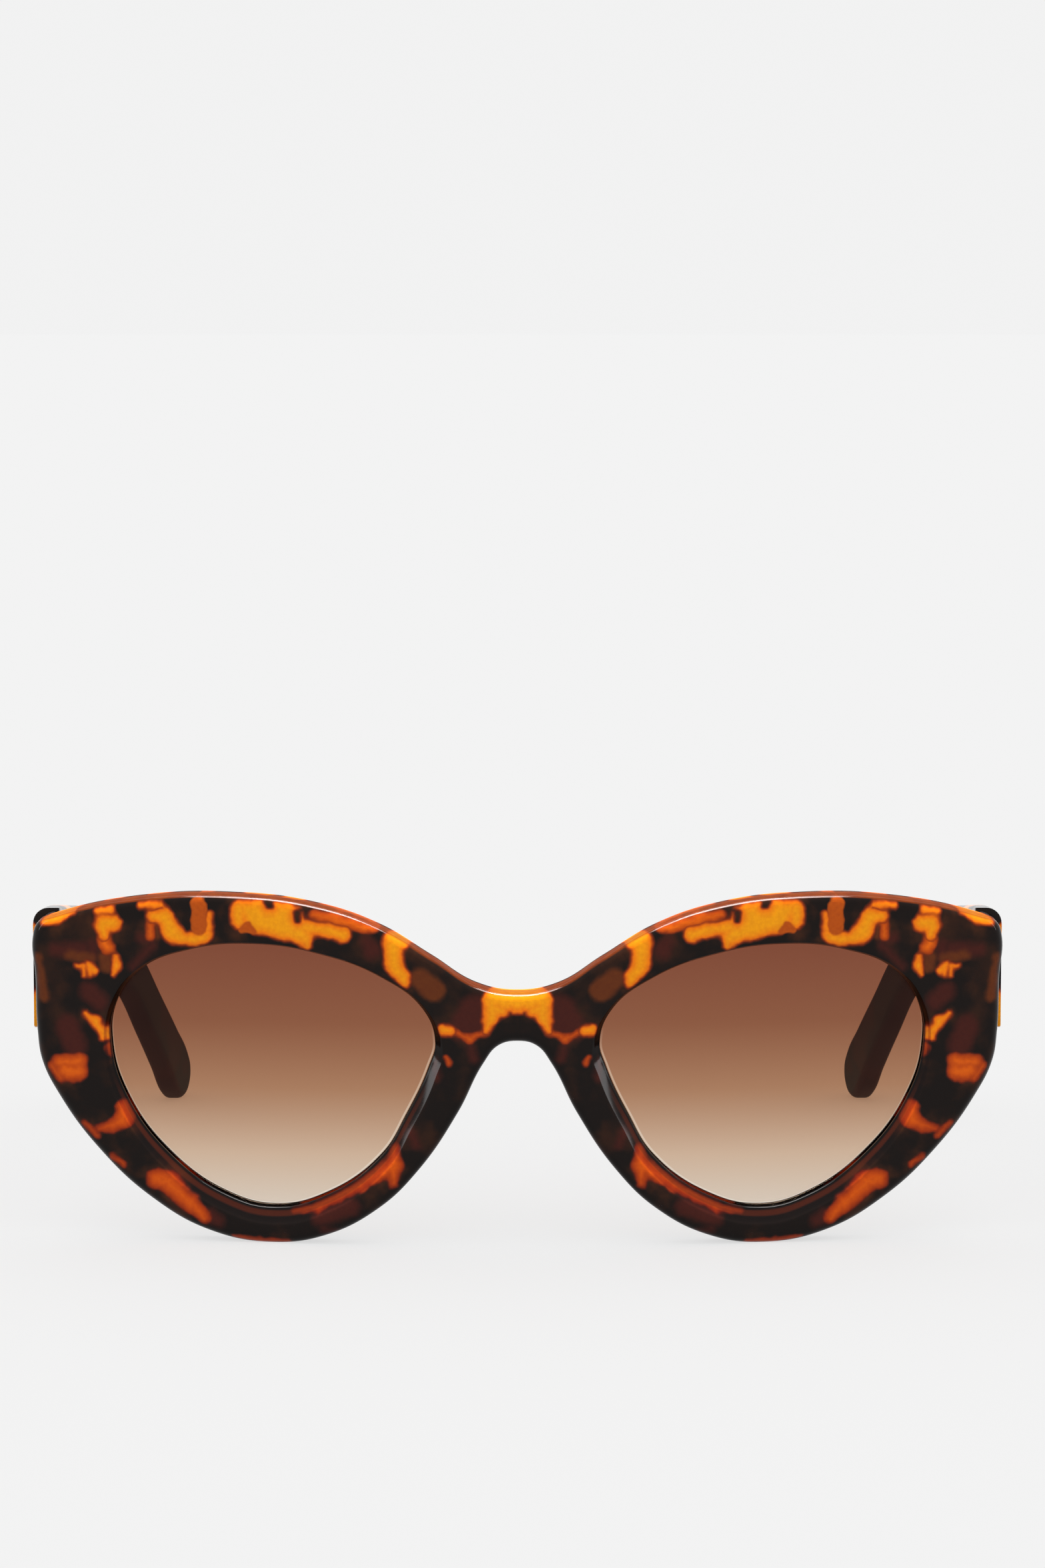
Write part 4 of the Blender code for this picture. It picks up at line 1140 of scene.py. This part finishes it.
def lens_material():
    nodes = new_material("lens_tint")
    z = millimetres(nodes)[2]
    height = nodes.span(z, LENS_LOW_Z, LENS_HIGH_Z)
    # Light crosses two faces, so each lets through the square root of the whole tint.
    stops = [(at, [math.sqrt(share) for share in tint]) for at, tint in LENS_TINT]
    # Painted light: the tint fades to near clear in a fine line round the lower edge.
    painted_light_line = nodes.add("ShaderNodeAttribute", out=2, attribute_name="painted_light_line")
    tint = nodes.mix(painted_light_line, nodes.ramp(height, stops), PAINTED_LIGHT_LINE_TINT)
    clear = nodes.add("ShaderNodeBsdfTransparent", {"Color": tint})
    gloss = nodes.add("ShaderNodeBsdfGlossy", {"Color": (1.0, 1.0, 1.0), "Roughness": 0.03})
    share = nodes.times(nodes.add("ShaderNodeFresnel", {"IOR": 1.5}), 0.2)
    return nodes.finish(nodes.add("ShaderNodeMixShader", {0: share, 1: clear, 2: gloss}))


def metal_material(name, light, dark, roughness):
    """Polished metal with fine draw marks and slight tarnish."""
    nodes = new_material(name)
    point = nodes.point()
    marks = nodes.noise(nodes.vector("MULTIPLY", point, (600.0, 600.0, 6000.0)), 1.0, 2.0)
    tarnish = nodes.noise(point, 700.0, 3.0)
    values = {
        "Base Color": nodes.mix(tarnish, dark, light), "Metallic": 1.0,
        "Roughness": nodes.math("MULTIPLY_ADD", tarnish, 0.16, roughness),
        "Normal": nodes.bump(marks, 0.15, 0.00002),
    }
    return nodes.finish(nodes.add("ShaderNodeBsdfPrincipled", values))


def floor_material():
    nodes = new_material("floor")
    mottle = nodes.noise(nodes.point(), 3.0, 2.0)
    darker = [c * 0.996 for c in FLOOR_COLOUR]
    diffuse = nodes.add("ShaderNodeBsdfDiffuse", {"Color": nodes.mix(mottle, darker, FLOOR_COLOUR)})
    glow = nodes.add("ShaderNodeEmission", {"Strength": FLOOR_GLOW})
    return nodes.finish(nodes.add("ShaderNodeAddShader", {0: diffuse, 1: glow}))


# ---- Camera, floor and light
def add_camera():
    data = bpy.data.cameras.new("camera")
    data.sensor_width = 36.0
    data.lens = CAMERA_LENS
    camera = add_object("camera", data)
    camera.location = CAMERA_AT
    camera.rotation_euler = Euler([math.radians(angle) for angle in CAMERA_ANGLES])
    bpy.context.scene.camera = camera


def add_floor():
    mesh = bpy.data.meshes.new("floor")
    edit(mesh, lambda bm: bmesh.ops.create_circle(bm, cap_ends=True, segments=96, radius=30.0))
    floor = add_object("floor", mesh)
    floor.data.materials.append(floor_material())


def add_sky():
    """Even light from all round, a little brighter overhead."""
    nodes = Nodes(bpy.data.worlds.new("studio"))
    direction = nodes.add("ShaderNodeTexCoord")
    height = nodes.add("ShaderNodeSeparateXYZ", {0: direction}, out=2)
    values = {
        "Value": height, "From Min": SKY_BAND[0], "From Max": SKY_BAND[1],
        "To Min": PALE, "To Max": OVERHEAD,
    }
    strength = nodes.add("ShaderNodeMapRange", values)
    light = nodes.add("ShaderNodeBackground", {"Color": (1.0, 1.0, 1.0), "Strength": strength})
    bpy.context.scene.world = nodes.finish(light, "ShaderNodeOutputWorld")


def add_softbox(name, place_at, size, power, lit):
    """A softbox aimed at the glasses that lights only what is in the lit collection."""
    data = bpy.data.lights.new(name, "AREA")
    data.shape = "RECTANGLE"
    data.size, data.size_y = size
    data.energy = power
    box = add_object(name, data)
    box.location = place_at
    aim = Vector(AIM) - Vector(place_at)
    box.rotation_euler = aim.to_track_quat("-Z", "Y").to_euler()
    box.light_linking.receiver_collection = lit
    return box


def add_lights(pieces):
    lit = bpy.data.collections.new("lit_pieces")
    for ob in pieces:
        lit.objects.link(ob)
    for softbox in SOFTBOXES:
        add_softbox(*softbox, lit)
    strip = add_softbox(*HIGHLIGHT_STRIP, lit)
    strip.visible_diffuse = False


# ---- Build
def build():
    tortoise = front_tortoise()
    temple_plastic = temple_tortoise()
    tint = lens_material()
    gold = metal_material("gold_metal", (0.86, 0.62, 0.28), (0.66, 0.43, 0.17), 0.16)
    steel = metal_material("steel", (0.68, 0.67, 0.64), (0.48, 0.46, 0.43), 0.2)

    pieces = [show(front_moulding(), tortoise, "tortoise", "front", "front_frame")]
    for hand, side in HANDS:
        body = f"{hand}_temple"
        pieces += [
            show(lens(hand, side), tint, "lens_tint", "front", f"lens_{hand}"),
            show(temple_moulding(hand, side), temple_plastic, "tortoise", body, f"temple_{hand}"),
            show(front_leaf(hand, side), gold, "gold_metal", "front", f"front_hinge_{hand}"),
            show(temple_leaf(hand, side), gold, "gold_metal", body, f"temple_hinge_{hand}"),
            show(screw(hand, side), steel, "steel", "front", f"hinge_screw_{hand}"),
        ]
        for level, at in zip(("lower", "upper"), front_rivet_points()):
            ob = rivet(f"rivet_front_{level}_{hand}", side, at, (0, -1, 0))
            pieces.append(show(ob, gold, "gold_metal", "front", f"front_rivet_{level}_{hand}"))
        for level, at in zip(("front", "rear"), temple_rivet_points()):
            ob = rivet(f"rivet_temple_{level}_{hand}", side, at, (1, 0, 0))
            pieces.append(show(ob, gold, "gold_metal", body, f"temple_rivet_{level}_{hand}"))
    return pieces


add_camera()
add_sky()
add_floor()
add_lights(build())
bpy.context.scene.view_settings.view_transform = "Standard"
